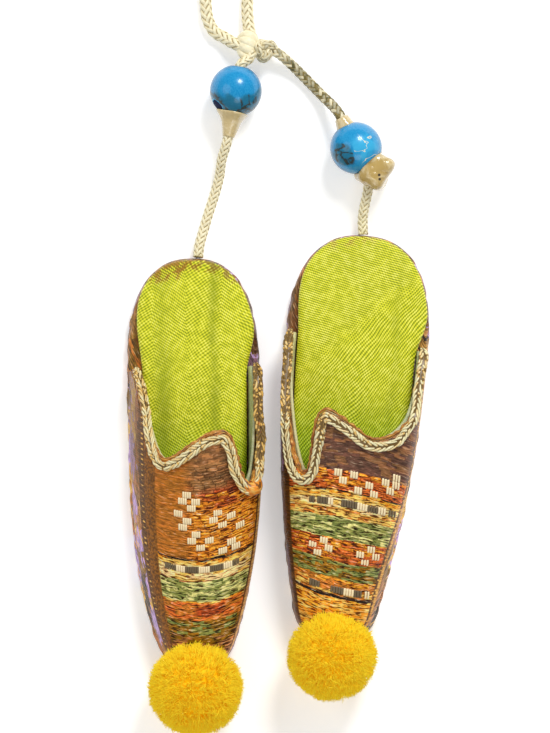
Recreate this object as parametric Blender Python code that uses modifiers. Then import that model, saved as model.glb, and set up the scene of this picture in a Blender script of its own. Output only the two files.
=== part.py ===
"""Pair of miniature slipper ornaments, joined by a cord with two beads, a knot and a hanging loop.

Two open-backed fabric slippers with pointed toes lie side by side on their flat soles, heels
toward +Y. Each has a wrapped sole, a padded insole, an upper, a lining, a braid along the mouth
and a pompom on the toe. Lengths are in metres and +Z is up. The origin is on the surface that
the soles lie on, under the middle of the two slippers.
"""

import math

import bmesh
import bpy
import numpy as np
from mathutils import Matrix, Vector

# Driving dimensions of the two slippers
LEFT_LENGTH = 0.0825
RIGHT_LENGTH = 0.0810
LEFT_WIDTH = 0.0254
RIGHT_WIDTH = 0.0276
LEFT_TURN = math.radians(0.6)
RIGHT_TURN = math.radians(-4.6)
PAIR_GAP = 0.0040
HEEL_STEP = 0.0044

# Layers of a slipper
SOLE_THICKNESS = 0.0034
SOLE_EDGE_ROUND = 0.0007
INSOLE_THICKNESS = 0.0020
INSOLE_EDGE_ROUND = 0.0007
INSOLE_MARGIN = 0.0010
UPPER_HEIGHT = 0.0130
UPPER_THICKNESS = 0.0009
UPPER_SETBACK = 0.0004
LINING_THICKNESS = 0.0005
LINING_EDGE_DROP = 0.0003
GAP = 0.0003
SPARE_GAP = 0.0001

# Braid along the mouth
BRAID_DIAMETER = 0.0016
BRAID_SETBACK = 0.0010
BRAID_TURN_START = 36.0
BRAID_TURN_END = 70.0
BRAID_END_ANGLE = 83.0

# Pompoms
LEFT_POMPOM_DIAMETER = 0.0180
RIGHT_POMPOM_DIAMETER = 0.0170
POMPOM_LIFT = 0.0003

# Cord, beads, glue and knot
CORD_DIAMETER = 0.0020
LOOP_CORD_DIAMETER = 0.0024
BEAD_DIAMETER = 0.0100
BEAD_BORE = 0.0030
LEFT_GLUE_LENGTH = 0.0044
GLUE_WALL = 0.0009
GLUE_SCRAP_LENGTH = 0.0018
GLUE_LUMP_SIZE = (0.0066, 0.0072, 0.0062)
KNOT_LENGTH = 0.0086
KNOT_DIAMETER = 0.0056

# Where the cord runs: each bead's middle, the way of its bore, and the middle of the knot
BEAD_HEIGHT = BEAD_DIAMETER / 2 + SPARE_GAP
LEFT_BEAD = Vector((-0.0082, 0.0757, BEAD_HEIGHT))
LEFT_AXIS = Vector((0.17, 0.985, 0.0)).normalized()
RIGHT_BEAD = Vector((0.0149, 0.0647, BEAD_HEIGHT))
RIGHT_AXIS = Vector((-0.440, 0.898, 0.0)).normalized()
KNOT = Vector((-0.0038, 0.0840, 0.0029))
KNOT_AXIS = Vector((0.975, -0.222, 0.0)).normalized()

# Where each lower cord leaves its heel: beside the heel's middle, and where it is a little later
EXIT_HEIGHT = 0.0022
EXIT_RUN = 0.0024
LEFT_EXIT_SHIFT = 0.0012
LEFT_EXIT_DRIFT = 0.0003
LEFT_EXIT_END = 0.0018
RIGHT_EXIT_SHIFT = -0.0004
RIGHT_EXIT_DRIFT = -0.0001
RIGHT_EXIT_END = 0.0024

# Form of the glue: the left cone's wide end and both thin ends, in walls, and the right lump,
# whose middle lies on the bead's surface
CONE_WALLS = 2.0
THIN_WALLS = 1.0 / 3.0
SCRAP_SHOULDER = 1.0 / 3.0
GLUE_LUMP_WAY = Vector((0.629, -0.777, -0.05)).normalized()
GLUE_LUMP_TURN = math.radians(-25.0)

# Form of the knot: turns of cord side by side, the dip between them, and how blunt its ends are
KNOT_TURNS = 3
KNOT_DIP = 0.12
KNOT_BLUNTNESS = 0.5

# Form of the sole's outline, as shares of the slipper's length
HEEL_SHARE = 0.26
HEEL_POWER = 2.45
TOE_SHARE = 0.10
LEFT_TAPER = 0.695
LEFT_TAPER_POWER = 3.64
RIGHT_TAPER = 0.56
RIGHT_TAPER_POWER = 2.10

# Form of the upper: how its ridge falls to the toe, how it leans to the inner side, and how much
# further each of its sides flares out
RIDGE_START = 0.40
RIDGE_FALL = 0.62
RIDGE_POWER = 1.15
RIDGE_TOE_SHARE = 0.12
ARCH_SIDE_POWER = 0.85
ARCH_TOP_POWER = 0.80
UPPER_LEAN = 0.25
LEFT_INNER_FLARE = 0.06
LEFT_OUTER_FLARE = 0.0
RIGHT_INNER_FLARE = -0.04
RIGHT_OUTER_FLARE = 0.38
FLARE_ANGLE = 60.0
FLARE_END = 0.85
FLARE_FADE = 0.30

# How the braid goes round the mouth's edge, as shares of its way from BRAID_TURN_START to
# BRAID_TURN_END: the setback ends, the braid turns over the edge, and it moves above the wall
SETBACK_SHARE = 0.35
OVER_START = 0.30
OVER_SHARE = 0.40
SHIFT_START = 0.65

# Insole: where it gives way to the upper, and where it ends inside the toe, as shares of length
INSOLE_STEP_START = 0.10
INSOLE_STEP_END = 0.235
INSOLE_END = 0.80
INSOLE_END_SHARE = 0.12

# Mouth edge, from the outer wing over the tongue to the inner wing.
# Each point is an angle round the arch in degrees and a share of the length from the heel.
LEFT_MOUTH = [
    (-90, 0.265), (-84, 0.266), (-75, 0.305), (-62, 0.390), (-46, 0.462), (-30, 0.468),
    (-12, 0.438), (2, 0.413), (12, 0.412), (19, 0.445), (24, 0.490), (30, 0.522),
    (36, 0.530), (45, 0.520), (54, 0.480), (64, 0.400), (76, 0.300), (84, 0.258), (90, 0.256),
]
RIGHT_MOUTH = [
    (-90, 0.268), (-84, 0.269), (-76, 0.305), (-66, 0.370), (-53, 0.428), (-38, 0.470),
    (-23, 0.486), (-9, 0.456), (1, 0.430), (8, 0.427), (12, 0.452), (15, 0.500), (17, 0.548),
    (22, 0.574), (31, 0.572), (43, 0.520), (57, 0.420), (71, 0.320), (84, 0.250), (90, 0.247),
]

# How finely the surfaces are cut
OUTLINE_STEPS = 20
UPPER_COLUMNS = 31
UPPER_ROWS = 10
LINING_COLUMNS = 26
LINING_ROWS = 7
ROW_CROWDING = 1.6
BRAID_POINTS = 34
CORD_POINTS = 19
LOOP_POINTS = 25
CORD_ROUND_STEPS = 2
TURN_STEPS = 14
BEAD_RINGS = 9
KNOT_RINGS = 12
POMPOM_CUTS = (18, 12)
LUMP_CUTS = (12, 8)
ROOM_CUTS = (16, 10)
CURVE_SAMPLES = 400
SLOPE_STEP = 0.002
TOE_ROOM_SHARE = 0.3
TOE_ROOM_RINGS = 12
TOE_ROOM_COLUMNS = 13
TOE_ROOM_CROWDING = 2
SHARP_ANGLE = math.radians(50.0)
WELD_DISTANCE = 0.00001

FOOT_HEIGHT = SOLE_THICKNESS + GAP
UPPER_FOOT_HEIGHT = FOOT_HEIGHT + UPPER_LEAN * UPPER_THICKNESS
LINING_CLEARANCE = GAP + SPARE_GAP
GLUE_BORE = CORD_DIAMETER + 2 * (GAP + SPARE_GAP)
LINING_INSET = UPPER_SETBACK + UPPER_THICKNESS + LINING_CLEARANCE
EDGE_THICKNESS = UPPER_THICKNESS + LINING_CLEARANCE + LINING_THICKNESS
INSOLE_CLEARANCE = GAP + UPPER_LEAN * (INSOLE_THICKNESS + LINING_THICKNESS)
INSOLE_INSET = LINING_INSET + LINING_THICKNESS + INSOLE_CLEARANCE


class Slipper:
    """The sizes of one slipper. side is +1 where the inner side is toward +X, and -1 where it is
    toward -X; the surfaces below are worked out with x toward the inner side."""

    def __init__(self, name, side, length, width, turn, taper, flares, mouth, pompom):
        self.name = name
        self.side = side
        self.length = length
        self.width = width
        self.turn = turn
        self.taper, self.taper_power = taper
        self.inner_flare, self.outer_flare = flares
        self.mouth = mouth
        self.pompom = pompom


LEFT = Slipper(
    "left", 1, LEFT_LENGTH, LEFT_WIDTH, LEFT_TURN, (LEFT_TAPER, LEFT_TAPER_POWER),
    (LEFT_INNER_FLARE, LEFT_OUTER_FLARE), LEFT_MOUTH, LEFT_POMPOM_DIAMETER,
)
RIGHT = Slipper(
    "right", -1, RIGHT_LENGTH, RIGHT_WIDTH, RIGHT_TURN, (RIGHT_TAPER, RIGHT_TAPER_POWER),
    (RIGHT_INNER_FLARE, RIGHT_OUTER_FLARE), RIGHT_MOUTH, RIGHT_POMPOM_DIAMETER,
)


def set_places():
    """Puts the slippers side by side: the widest places of their soles stand PAIR_GAP apart, and
    the middle of the pair is at the origin. A turned slipper's heel swings out, and its outer
    side leans back in by half as much."""
    reach = {}
    for shape in (LEFT, RIGHT):
        swing = abs(math.sin(shape.turn)) * RIDGE_START * shape.length
        shape.heel_x = -shape.side * (PAIR_GAP / 2 + shape.width / 2 + swing)
        reach[shape.name] = abs(shape.heel_x) + shape.width / 2 - swing / 2
    middle = (reach["right"] - reach["left"]) / 2
    LEFT.heel_x -= middle
    RIGHT.heel_x -= middle
    LEFT.heel_y = (LEFT.length + LEFT.pompom / 2 - HEEL_STEP) / 2
    RIGHT.heel_y = LEFT.heel_y + HEEL_STEP


set_places()


def smooth_step(value):
    """0 below 0, 1 above 1, and a smooth ramp between."""
    value = np.clip(value, 0.0, 1.0)
    return value * value * (3.0 - 2.0 * value)


def round_end(share, start, span):
    """1 up to start, then a quarter circle down to 0 at start + span."""
    run = np.clip((share - start) / span, 0.0, 1.0)
    return np.sqrt(np.clip(1.0 - run**2, 0.0, 1.0))


def half_width(shape, share):
    """Half the sole's width at a share of its length from the heel: a rounded heel, a long taper
    and a round toe."""
    share = np.asarray(share, dtype=float)
    back = np.clip(1.0 - share / HEEL_SHARE, 0.0, 1.0)
    heel = (1.0 - back**HEEL_POWER) ** (1.0 / HEEL_POWER)
    run = np.clip((share - HEEL_SHARE) / (1.0 - HEEL_SHARE), 0.0, 1.0)
    taper = 1.0 - shape.taper * run**shape.taper_power
    return shape.width / 2 * heel * taper * round_end(share, 1.0 - TOE_SHARE, TOE_SHARE)


def ridge_height(share):
    """Height of the upper's ridge over its foot, which falls from the instep to the toe."""
    run = (np.asarray(share, dtype=float) - RIDGE_START) / (1.0 - RIDGE_START)
    fall = RIDGE_FALL * np.sign(run) * np.abs(run) ** RIDGE_POWER
    return UPPER_HEIGHT * (1.0 - fall)


def upper_points(shape, angle, share, inset):
    """Points on the upper. angle goes from -90 at the outer foot over 0 at the ridge to 90 at the
    inner foot, share is the place along the length, and inset moves the surface inward from the
    sole's edge. The arch is a rounded box in section, sheared toward the inner side."""
    turn = np.radians(np.asarray(angle, dtype=float))
    share = np.asarray(share, dtype=float)
    stretch = shape.length / (shape.length - inset)
    toe = round_end(share, 1.0 - RIDGE_TOE_SHARE, RIDGE_TOE_SHARE)
    wide = half_width(shape, share) - inset * toe
    high = (ridge_height(share) - inset + UPPER_SETBACK) * toe
    x = wide * np.sign(np.sin(turn)) * np.abs(np.sin(turn)) ** ARCH_SIDE_POWER
    z = high * np.abs(np.cos(turn)) ** ARCH_TOP_POWER
    fade = 1.0 - smooth_step((share - FLARE_END + FLARE_FADE) / FLARE_FADE)
    inner = shape.inner_flare * smooth_step(np.degrees(turn) / FLARE_ANGLE)
    outer = shape.outer_flare * smooth_step(-np.degrees(turn) / FLARE_ANGLE)
    flare = (inner - outer) * fade
    x = x + (UPPER_LEAN + flare) * z
    y = -share * shape.length / stretch
    return np.stack([x * shape.side, y, z + UPPER_FOOT_HEIGHT], axis=-1)


def through(points, count):
    """count points at even distances on a smooth curve through the given points."""
    knots = np.array(points, dtype=float)
    ends = np.vstack([2 * knots[0] - knots[1], knots, 2 * knots[-1] - knots[-2]])
    steps = np.linspace(0.0, len(knots) - 1, CURVE_SAMPLES)
    index = np.minimum(steps.astype(int), len(knots) - 2)
    t = (steps - index)[:, None]
    a, b, c, d = (ends[index + offset] for offset in range(4))
    line = 0.5 * (
        2 * b + (c - a) * t + (2 * a - 5 * b + 4 * c - d) * t**2 + (3 * b - a - 3 * c + d) * t**3
    )
    run = np.concatenate([[0.0], np.cumsum(np.linalg.norm(np.diff(line, axis=0), axis=1))])
    even = np.linspace(0.0, run[-1], count)
    return np.stack([np.interp(even, run, line[:, axis]) for axis in range(line.shape[1])], axis=1)


def mouth_line(shape, count):
    """count angles and shares along the mouth's edge, at even distances on the slipper."""
    fine = through([(angle / 90.0, share) for angle, share in shape.mouth], CURVE_SAMPLES)
    angle = np.clip(fine[:, 0] * 90.0, -90.0, 90.0)
    share = fine[:, 1]
    line = upper_points(shape, angle, share, UPPER_SETBACK)
    run = np.concatenate([[0.0], np.cumsum(np.linalg.norm(np.diff(line, axis=0), axis=1))])
    even = np.linspace(0.0, run[-1], count)
    return np.interp(even, run, angle), np.interp(even, run, share)


def material(name, colour, roughness=0.6, metallic=0.0):
    """A plain Principled material."""
    made = bpy.data.materials.new(name)
    made.use_nodes = True
    shader = made.node_tree.nodes["Principled BSDF"]
    shader.inputs["Base Color"].default_value = (*colour, 1.0)
    shader.inputs["Roughness"].default_value = roughness
    shader.inputs["Metallic"].default_value = metallic
    made.diffuse_color = (*colour, 1.0)
    return made


def finish(piece, finish_material, parent=None):
    """Gives a piece its material, puts it under its slipper and smooths its shading."""
    piece.data.materials.clear()
    piece.data.materials.append(finish_material)
    if parent is not None:
        piece.parent = parent
    if piece.type == "MESH":
        piece.data.shade_smooth()
        piece.data.set_sharp_from_angle(angle=SHARP_ANGLE)
    return piece


def mesh_piece(name, vertices, faces):
    """A new mesh object from points and faces."""
    data = bpy.data.meshes.new(name)
    data.from_pydata([tuple(v) for v in vertices], [], faces)
    data.update()
    piece = bpy.data.objects.new(name, data)
    PIECES.objects.link(piece)
    return piece


def made_mesh(piece):
    """Turns a curve piece into a mesh piece with its caps welded on."""
    scene = bpy.context.evaluated_depsgraph_get()
    data = bpy.data.meshes.new_from_object(piece.evaluated_get(scene))
    work = bmesh.new()
    work.from_mesh(data)
    bmesh.ops.remove_doubles(work, verts=work.verts, dist=WELD_DISTANCE)
    work.to_mesh(data)
    work.free()
    name = piece.name
    matrix = piece.matrix_world.copy()
    curve = piece.data
    bpy.data.objects.remove(piece)
    bpy.data.curves.remove(curve)
    data.name = name
    solid = bpy.data.objects.new(name, data)
    solid.matrix_world = matrix
    PIECES.objects.link(solid)
    return solid


def flat_outline(name, points, low, high):
    """A slab with the given outline, from height low to height high."""
    curve = bpy.data.curves.new(name, "CURVE")
    curve.dimensions = "2D"
    curve.fill_mode = "BOTH"
    curve.extrude = (high - low) / 2
    spline = curve.splines.new("POLY")
    spline.points.add(len(points) - 1)
    for point, (x, y) in zip(spline.points, points):
        point.co = (x, y, 0.0, 1.0)
    spline.use_cyclic_u = True
    piece = bpy.data.objects.new(name, curve)
    piece.location.z = (low + high) / 2
    PIECES.objects.link(piece)
    bpy.context.view_layer.update()
    return made_mesh(piece)


def round_edges(piece, radius):
    """Bevels the piece's sharp edges."""
    edge = piece.modifiers.new("rounded edges", "BEVEL")
    edge.width = radius
    edge.segments = 1
    edge.limit_method = "ANGLE"
    edge.angle_limit = SHARP_ANGLE


def outline(shape, margin, last):
    """The sole's outline drawn in by a margin, from the heel to a share of the length."""
    share = last * (1.0 - np.cos(np.linspace(0.0, math.pi, OUTLINE_STEPS + 1))) / 2
    wide = np.maximum(half_width(shape, share) - margin(share), 0.0)
    if last < 1.0:
        wide = wide * round_end(share, last - INSOLE_END_SHARE, INSOLE_END_SHARE)
    inner = [(w, -s * shape.length) for w, s in zip(wide[1:-1], share[1:-1])]
    outer = [(-w, -s * shape.length) for w, s in zip(wide[1:-1], share[1:-1])]
    heel = (0.0, -share[0] * shape.length)
    toe = (0.0, -share[-1] * shape.length)
    points = [heel] + inner + [toe] + outer[::-1]
    return [(x * shape.side, y) for x, y in points][:: -shape.side]


def make_sole(shape, place):
    """The sole: a card core wrapped in cloth, flat below, with rounded edges."""
    points = outline(shape, np.zeros_like, 1.0)
    piece = flat_outline(f"{shape.name}_sole", points, 0.0, SOLE_THICKNESS)
    round_edges(piece, SOLE_EDGE_ROUND)
    return finish(piece, BROCADE, place)


def insole_margin(share):
    """How far the insole stays inside the sole's edge: little at the heel, and past the walls of
    the upper and the lining from where they begin."""
    step = smooth_step((share - INSOLE_STEP_START) / (INSOLE_STEP_END - INSOLE_STEP_START))
    return INSOLE_MARGIN + (INSOLE_INSET - INSOLE_MARGIN) * step


def make_insole(shape, place):
    """The insole: a ribbon-covered pad on the sole, ending inside the toe."""
    points = outline(shape, insole_margin, INSOLE_END)
    points = [(x, min(y, -INSOLE_MARGIN)) for x, y in points]
    top = FOOT_HEIGHT + INSOLE_THICKNESS
    piece = flat_outline(f"{shape.name}_insole", points, FOOT_HEIGHT, top)
    round_edges(piece, INSOLE_EDGE_ROUND)
    return finish(piece, RIBBON, place)


def shell(name, shape, inset, thickness, columns, rows, drop=0.0):
    """A wall of even thickness that follows the upper's surface from the mouth to the toe, and
    begins a drop below the mouth's edge."""
    angle, share = mouth_line(shape, columns + 1)
    share = share + drop / shape.length
    run = np.linspace(0.0, 1.0, rows + 1)[:-1, None]
    reach = 1.0 - (1.0 - run) ** ROW_CROWDING
    shares = share[None, :] + (1.0 - share[None, :]) * reach
    angles = np.repeat(angle[None, :], rows, axis=0)
    grid = upper_points(shape, angles, shares, inset)
    tip = upper_points(shape, 90.0, 1.0, inset)
    vertices = np.vstack([grid.reshape(-1, 3), tip[None, :]])
    wide = columns + 1
    faces = []
    for row in range(rows - 1):
        for column in range(columns):
            corner = row * wide + column
            faces.append((corner, corner + 1, corner + wide + 1, corner + wide))
    last = (rows - 1) * wide
    for column in range(columns):
        faces.append((last + column, last + column + 1, rows * wide))
    if shape.side > 0:
        faces = [face[::-1] for face in faces]
    piece = mesh_piece(name, vertices, faces)
    wall = piece.modifiers.new("wall", "SOLIDIFY")
    wall.thickness = thickness
    wall.offset = -1.0
    wall.use_even_offset = False
    return piece


def make_upper(shape, place):
    """The upper: stiffened cloth over the front of the foot."""
    piece = shell(
        f"{shape.name}_upper", shape, UPPER_SETBACK, UPPER_THICKNESS, UPPER_COLUMNS, UPPER_ROWS
    )
    return finish(piece, UPPER_CLOTH, place)


def make_lining(shape, place):
    """The lining, close inside the upper."""
    piece = shell(
        f"{shape.name}_lining", shape, LINING_INSET, LINING_THICKNESS, LINING_COLUMNS, LINING_ROWS,
        LINING_EDGE_DROP,
    )
    return finish(piece, LINING_CLOTH, place)


def tube(name, points, diameter):
    """A cord: a round tube along the points, with its ends closed."""
    curve = bpy.data.curves.new(name, "CURVE")
    curve.dimensions = "3D"
    curve.bevel_depth = diameter / 2
    curve.bevel_resolution = CORD_ROUND_STEPS
    curve.use_fill_caps = True
    curve.resolution_u = 1
    curve.render_resolution_u = 0
    spline = curve.splines.new("POLY")
    spline.points.add(len(points) - 1)
    for point, place in zip(spline.points, points):
        point.co = (*place, 1.0)
    piece = bpy.data.objects.new(name, curve)
    PIECES.objects.link(piece)
    return piece


def braid_line(shape):
    """The braid's middle line: on the outer face of the upper, a little below the mouth's edge,
    over the instep, and on top of the edge along both wings. Between them it goes round the
    edge: first the setback ends, then the braid turns over the edge, then it moves above it."""
    angle, share = mouth_line(shape, CURVE_SAMPLES)
    keep = np.abs(angle) <= BRAID_END_ANGLE
    angle, share = angle[keep], share[keep]
    edge = upper_points(shape, angle, share, UPPER_SETBACK)
    along = np.gradient(edge, axis=0)
    across = upper_points(shape, angle, share + SLOPE_STEP, UPPER_SETBACK) - edge
    normal = np.cross(along, across) * -shape.side
    normal /= np.linalg.norm(normal, axis=1)[:, None]
    along /= np.linalg.norm(along, axis=1)[:, None]
    inward = np.cross(along, normal) * shape.side
    inward *= np.sign(np.sum(inward * across, axis=1))[:, None]
    turn = (np.abs(angle) - BRAID_TURN_START) / (BRAID_TURN_END - BRAID_TURN_START)
    setback = BRAID_SETBACK * (1.0 - smooth_step(turn / SETBACK_SHARE))
    over = math.pi / 2 * smooth_step((turn - OVER_START) / OVER_SHARE)
    shift = EDGE_THICKNESS / 2 * smooth_step((turn - SHIFT_START) / (1.0 - SHIFT_START))
    out = BRAID_DIAMETER / 2 + GAP
    aside = (out * np.cos(over) - shift)[:, None]
    above = (setback - out * np.sin(over))[:, None]
    return through(edge + inward * above + normal * aside, BRAID_POINTS)


def make_braid(shape, place):
    """The gimp braid along the mouth."""
    piece = tube(f"{shape.name}_braid", braid_line(shape), BRAID_DIAMETER)
    return finish(piece, BRAID, place)


def as_cutter(piece):
    """Keeps a piece only to cut others with, out of the ornament and of every render."""
    for holder in list(piece.users_collection):
        holder.objects.unlink(piece)
    CUTTERS.objects.link(piece)
    piece.hide_render = True
    piece.display_type = "WIRE"
    return piece


def cut_away(piece, cutter):
    """Takes the cutter's form out of the piece."""
    cut = piece.modifiers.new(f"without {cutter.name}", "BOOLEAN")
    cut.operation = "DIFFERENCE"
    cut.object = as_cutter(cutter)


def ball(name, size, cuts):
    """A ball with a size along each of X, Y and Z, and with cuts around and from pole to pole."""
    work = bmesh.new()
    bmesh.ops.create_uvsphere(work, u_segments=cuts[0], v_segments=cuts[1], radius=0.5)
    bmesh.ops.scale(work, vec=size, verts=work.verts)
    data = bpy.data.meshes.new(name)
    work.to_mesh(data)
    work.free()
    piece = bpy.data.objects.new(name, data)
    PIECES.objects.link(piece)
    return piece


def toe_room(shape, place):
    """The toe of the sole and upper with a gap round it, carried down below the sole: what a
    pompom has to leave free."""
    run = np.linspace(1.0, 0.0, TOE_ROOM_RINGS)
    share = 1.0 - TOE_ROOM_SHARE * run**TOE_ROOM_CROWDING
    angle = np.linspace(-90.0, 90.0, TOE_ROOM_COLUMNS)
    rings = []
    for place_along in share:
        arch = upper_points(shape, angle, np.full(angle.shape, place_along), -GAP)
        arch[:, 2] += GAP
        wide = float(half_width(shape, place_along)) + GAP
        foot = np.array([
            [wide * shape.side, arch[0, 1], FOOT_HEIGHT],
            [wide * shape.side, arch[0, 1], -SOLE_THICKNESS],
            [-wide * shape.side, arch[0, 1], -SOLE_THICKNESS],
            [-wide * shape.side, arch[0, 1], FOOT_HEIGHT],
        ])
        rings.append(np.vstack([arch, foot]))
    around = len(rings[0])
    work = bmesh.new()
    grid = [[work.verts.new(p) for p in ring] for ring in rings]
    for one, two in zip(grid, grid[1:]):
        for k in range(around):
            n = (k + 1) % around
            work.faces.new((one[k], one[n], two[n], two[k]))
    work.faces.new(grid[0])
    work.faces.new(grid[-1])
    bmesh.ops.recalc_face_normals(work, faces=work.faces)
    data = bpy.data.meshes.new(f"{shape.name}_toe_room")
    work.to_mesh(data)
    work.free()
    room = bpy.data.objects.new(f"{shape.name}_toe_room", data)
    room.parent = place
    return room


def make_pompom(shape, place):
    """The pompom: a ball of yarn that sits round the tip of the toe."""
    piece = ball(f"{shape.name}_pompom", (shape.pompom,) * 3, POMPOM_CUTS)
    piece.location = (0.0, -shape.length, shape.pompom / 2 + POMPOM_LIFT)
    cut_away(piece, toe_room(shape, place))
    return finish(piece, YARN, place)


def turned(name, profile, centre, direction):
    """A turned piece: a profile of (radius, distance along the axis), running down its outer
    side, spun about the axis through centre."""
    vertices = [(radius, 0.0, along) for radius, along in profile]
    closed = profile[0][0] > 0.0
    edges = [(k, k + 1) for k in range(len(profile) - 1)]
    if closed:
        edges.append((len(profile) - 1, 0))
    data = bpy.data.meshes.new(name)
    data.from_pydata(vertices, edges, [])
    piece = bpy.data.objects.new(name, data)
    spin = piece.modifiers.new("turned", "SCREW")
    spin.steps = TURN_STEPS
    spin.render_steps = TURN_STEPS
    spin.use_merge_vertices = True
    spin.merge_threshold = WELD_DISTANCE
    spin.use_smooth_shade = True
    piece.matrix_world = (
        Matrix.Translation(centre) @ Vector(direction).to_track_quat("Z", "Y").to_matrix().to_4x4()
    )
    PIECES.objects.link(piece)
    return piece


def cord_through(bead, axis, start, shares, after):
    """Route points of a cord that runs straight through a bead and its glue. shares are places
    along the axis from the bead's middle, in bead diameters."""
    straight = [tuple(bead + axis * share * BEAD_DIAMETER) for share in shares]
    return start + straight + after


def cord_routes():
    """Route points of the three cords. The first point of each lower cord is at its heel."""
    left = (LEFT.heel_x + LEFT_EXIT_SHIFT, LEFT.heel_y + GAP)
    right = (RIGHT.heel_x + RIGHT_EXIT_SHIFT, RIGHT.heel_y + GAP)
    left_start = [
        (left[0], left[1], EXIT_HEIGHT),
        (left[0] + LEFT_EXIT_DRIFT, left[1] + EXIT_RUN, LEFT_EXIT_END),
        (-0.0144, 0.0492, 0.0012),
        (-0.0134, 0.0526, 0.0011),
        (-0.0123, 0.0560, 0.0012),
        (-0.0114, 0.0594, 0.0018),
        (-0.0109, 0.0626, 0.0036),
    ]
    left_after = [
        (-0.0057, 0.0819, 0.0041),
    ]
    right_start = [
        (right[0], right[1], EXIT_HEIGHT),
        (right[0] + RIGHT_EXIT_DRIFT, right[1] + EXIT_RUN, RIGHT_EXIT_END),
        (0.0164, 0.0526, 0.0032),
        (0.0172, 0.0566, 0.0045),
    ]
    right_after = [
        (0.0106, 0.0727, 0.0040),
        (0.0084, 0.0750, 0.0020),
        (0.0058, 0.0777, 0.0012),
        (0.0031, 0.0804, 0.0015),
        (0.0006, 0.0826, 0.0027),
    ]
    loop = [
        (-0.0083, 0.0849, 0.0027),
        (-0.0104, 0.0862, 0.0016),
        (-0.0124, 0.0874, 0.0013),
        (-0.0137, 0.0899, 0.0013),
        (-0.0141, 0.0932, 0.0013),
        (-0.0146, 0.0985, 0.0013),
        (-0.0151, 0.1050, 0.0013),
        (-0.0151, 0.1110, 0.0013),
        (-0.0134, 0.1157, 0.0013),
        (-0.0099, 0.1176, 0.0013),
        (-0.0064, 0.1157, 0.0013),
        (-0.0047, 0.1110, 0.0013),
        (-0.0048, 0.1050, 0.0013),
        (-0.0056, 0.0985, 0.0013),
        (-0.0060, 0.0932, 0.0013),
        (-0.0059, 0.0896, 0.0016),
        (-0.0055, 0.0871, 0.0023),
    ]
    return {
        "left_cord": cord_through(
            LEFT_BEAD, LEFT_AXIS, left_start, (-0.98, -0.6, -0.2, 0.2, 0.50), left_after
        ),
        "right_cord": cord_through(
            RIGHT_BEAD, RIGHT_AXIS, right_start, (-0.58, -0.25, 0.1, 0.4, 0.70), right_after
        ),
        "hanging_loop": loop,
    }


def make_cords():
    """The two cords from the heels to the knot, and the loop that the pair hangs by."""
    sizes = {
        "left_cord": (CORD_DIAMETER, CORD_POINTS),
        "right_cord": (CORD_DIAMETER, CORD_POINTS),
        "hanging_loop": (LOOP_CORD_DIAMETER, LOOP_POINTS),
    }
    for name, points in cord_routes().items():
        diameter, count = sizes[name]
        finish(tube(name, through(points, count), diameter), CORD)


def make_bead(name, centre, axis):
    """A round bead with a bore along the cord."""
    radius = BEAD_DIAMETER / 2
    mouth = math.asin(BEAD_BORE / BEAD_DIAMETER)
    turn = np.linspace(mouth, math.pi - mouth, BEAD_RINGS)
    profile = [(radius * math.sin(t), radius * math.cos(t)) for t in turn]
    finish(turned(name, profile, centre, axis), STONE)


def ball_side(radius):
    """How far along the axis the bead's surface, with a gap, lies at a distance from the axis."""
    return math.sqrt((BEAD_DIAMETER / 2 + GAP) ** 2 - radius**2)


def make_left_glue():
    """A cone of glue round the cord, below the left bead."""
    bore = GLUE_BORE / 2
    wide = bore + CONE_WALLS * GLUE_WALL
    profile = [
        (bore, -ball_side(bore)),
        (wide, -ball_side(wide)),
        (wide, -ball_side(wide) - GLUE_WALL),
        (bore + GLUE_WALL, -ball_side(bore) - LEFT_GLUE_LENGTH / 2),
        (bore + THIN_WALLS * GLUE_WALL, -ball_side(bore) - LEFT_GLUE_LENGTH),
        (bore, -ball_side(bore) - LEFT_GLUE_LENGTH),
    ]
    finish(turned("left_glue", profile, LEFT_BEAD, LEFT_AXIS), GLUE)


def make_right_glue():
    """A lopsided lump of glue on the right bead's lower side, with the cord running through it."""
    lump = ball("right_glue", GLUE_LUMP_SIZE, LUMP_CUTS)
    lump.location = RIGHT_BEAD + GLUE_LUMP_WAY * (BEAD_DIAMETER / 2 + GAP)
    lump.rotation_euler.z = GLUE_LUMP_TURN
    bead_room = ball("right_bead_room", (BEAD_DIAMETER + 2 * GAP,) * 3, ROOM_CUTS)
    bead_room.location = RIGHT_BEAD
    cut_away(lump, bead_room)
    route = through(cord_routes()["right_cord"], CORD_POINTS)
    cut_away(lump, made_mesh(tube("right_cord_room", route, GLUE_BORE)))
    finish(lump, GLUE)


def make_glue_scrap():
    """A scrap of glue round the cord, above the right bead."""
    bore = GLUE_BORE / 2
    low = ball_side(bore)
    wide = bore + GLUE_WALL
    profile = [
        (bore, low + GLUE_SCRAP_LENGTH),
        (bore + THIN_WALLS * GLUE_WALL, low + GLUE_SCRAP_LENGTH),
        (wide, low + SCRAP_SHOULDER * GLUE_SCRAP_LENGTH),
        (wide, ball_side(wide)),
        (bore, low),
    ]
    finish(turned("right_glue_scrap", profile, RIGHT_BEAD, RIGHT_AXIS), GLUE)


def make_knot():
    """The knot: a barrel of a few turns of cord, wound side by side."""
    share = np.linspace(0.0, 1.0, KNOT_RINGS)
    body = np.sin(np.pi * share) ** KNOT_BLUNTNESS
    turns = 1.0 - KNOT_DIP + KNOT_DIP * np.abs(np.sin(KNOT_TURNS * np.pi * share))
    radius = KNOT_DIAMETER / 2 * body * turns
    along = KNOT_LENGTH * (0.5 - share)
    radius[0] = 0.0
    radius[-1] = 0.0
    profile = list(zip(radius, along))
    finish(turned("cord_knot", profile, KNOT, KNOT_AXIS), CORD)


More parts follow.
